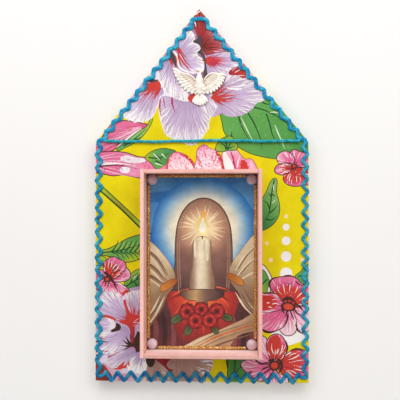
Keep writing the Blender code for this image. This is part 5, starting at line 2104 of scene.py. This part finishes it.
def make_ring():
    """A bent wire: a straight bar in the strap's eye and a round bow below it."""
    low, high = node_box("hanger_ring")
    wire, middle = high[1] - low[1], (low[1] + high[1]) / 2
    half = (high[0] - low[0] - wire) / 2
    top, bow = high[2] - wire / 2, low[2] + wire / 2 + half
    path = []
    for centre, radius, start, end in (
        ((half - RING_BEND, top - RING_BEND), RING_BEND, 90, 0),
        ((0, bow), half, 0, -180),
        ((RING_BEND - half, top - RING_BEND), RING_BEND, 180, 90),
    ):
        for turn in np.radians(np.arange(start, end - 1, -9)):
            path.append(np.add(centre, (radius * math.cos(turn), radius * math.sin(turn))))
    rings = []
    for spot, out in zip(path, -line_normals(np.array(path), True)):
        ring = []
        for turn in turns(16):
            x, z = spot + wire / 2 * math.cos(turn) * out
            ring.append((x, middle + wire / 2 * math.sin(turn), z))
        rings.append(ring)
    pile = Pile()
    pile.add(*loft(rings, loop=True))
    pile.piece("wire_ring", metal_finish("ring_brass", WIRE_BRASS, 0.28), "ring", ["hanger_ring"])


# Stage, light and camera

def make_stage():
    """A pale wall, open behind the board and seen only from its front, and a pale floor."""
    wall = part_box("back_lining")[1][1] + 2 * GLUE_GAP
    left, right, low, high = -STAGE_REACH, STAGE_REACH, STAGE_FLOOR, STAGE_TOP
    outer = [(left, wall, low), (right, wall, low), (right, wall, high), (0, wall, high), (left, wall, high)]
    inner = [(x, wall, z) for x, z in house_corners(0)]
    sides = len(inner)
    round_hole = [
        (side, (side + 1) % sides, (side + 1) % sides + sides, side + sides) for side in range(sides)
    ]
    ground = [(left, STAGE_NEAR, low), (right, STAGE_NEAR, low), (right, wall, low), (left, wall, low)]
    for name, corners, faces, glow in (
        ("stage_wall", outer + inner, round_hole, WALL_GLOW),
        ("stage_floor", ground, [(0, 1, 2, 3)], 0.0),
    ):
        mesh = bpy.data.meshes.new(name)
        mesh.from_pydata(corners, [], faces)
        made = add_object(name, mesh)
        pale = Finish(name + "_pale", Roughness=0.95, Emission_Strength=glow, Emission_Color=GLOW_TINT)
        pale.colour(pale.ramp(pale.noise(pale.place(), 4, 2), STAGE_TONES))
        clear = pale.node("ShaderNodeBsdfTransparent").outputs["BSDF"]
        behind = pale.node("ShaderNodeNewGeometry").outputs["Backfacing"]
        either = pale.node("ShaderNodeMixShader", i0=behind, i1=pale.shader.outputs["BSDF"], i2=clear)
        pale.feed(pale.tree.nodes["Material Output"].inputs["Surface"], either.outputs["Shader"])
        set_material(made, pale.material)


def make_light():
    world = bpy.data.worlds.new("pale_room")
    world.use_nodes = True
    room = world.node_tree.nodes["Background"]
    room.inputs["Color"].default_value = ROOM_TINT
    room.inputs["Strength"].default_value = ROOM_LIGHT
    bpy.context.scene.world = world
    for name, (place, target, width, height, power, tint, spread) in LAMPS.items():
        lamp = bpy.data.lights.new(name, "AREA")
        lamp.shape = "RECTANGLE"
        lamp.size, lamp.size_y = width, height
        lamp.energy = power
        lamp.color = tint
        lamp.spread = math.radians(spread)
        made = add_object(name, lamp)
        made.location = place
        made.rotation_euler = (Vector(target) - Vector(place)).to_track_quat("-Z", "Y").to_euler()


def make_camera():
    camera = bpy.data.cameras.new("photo_camera")
    camera.angle = math.radians(CAMERA_FIELD)
    camera.clip_start = 0.01
    made = add_object("photo_camera", camera)
    made.location = CAMERA_PLACE
    made.rotation_euler = (math.radians(90 + CAMERA_PITCH), 0, math.radians(CAMERA_YAW))
    bpy.context.scene.camera = made
    bpy.context.scene.view_settings.view_transform = "Standard"


make_stage()
make_light()
make_camera()
make_cloth()
make_braid()
make_eave_cord()
finish_box()
make_card()
make_glitter(random.Random(5))
make_pearls()
make_dove()
finish_back()
make_ring()
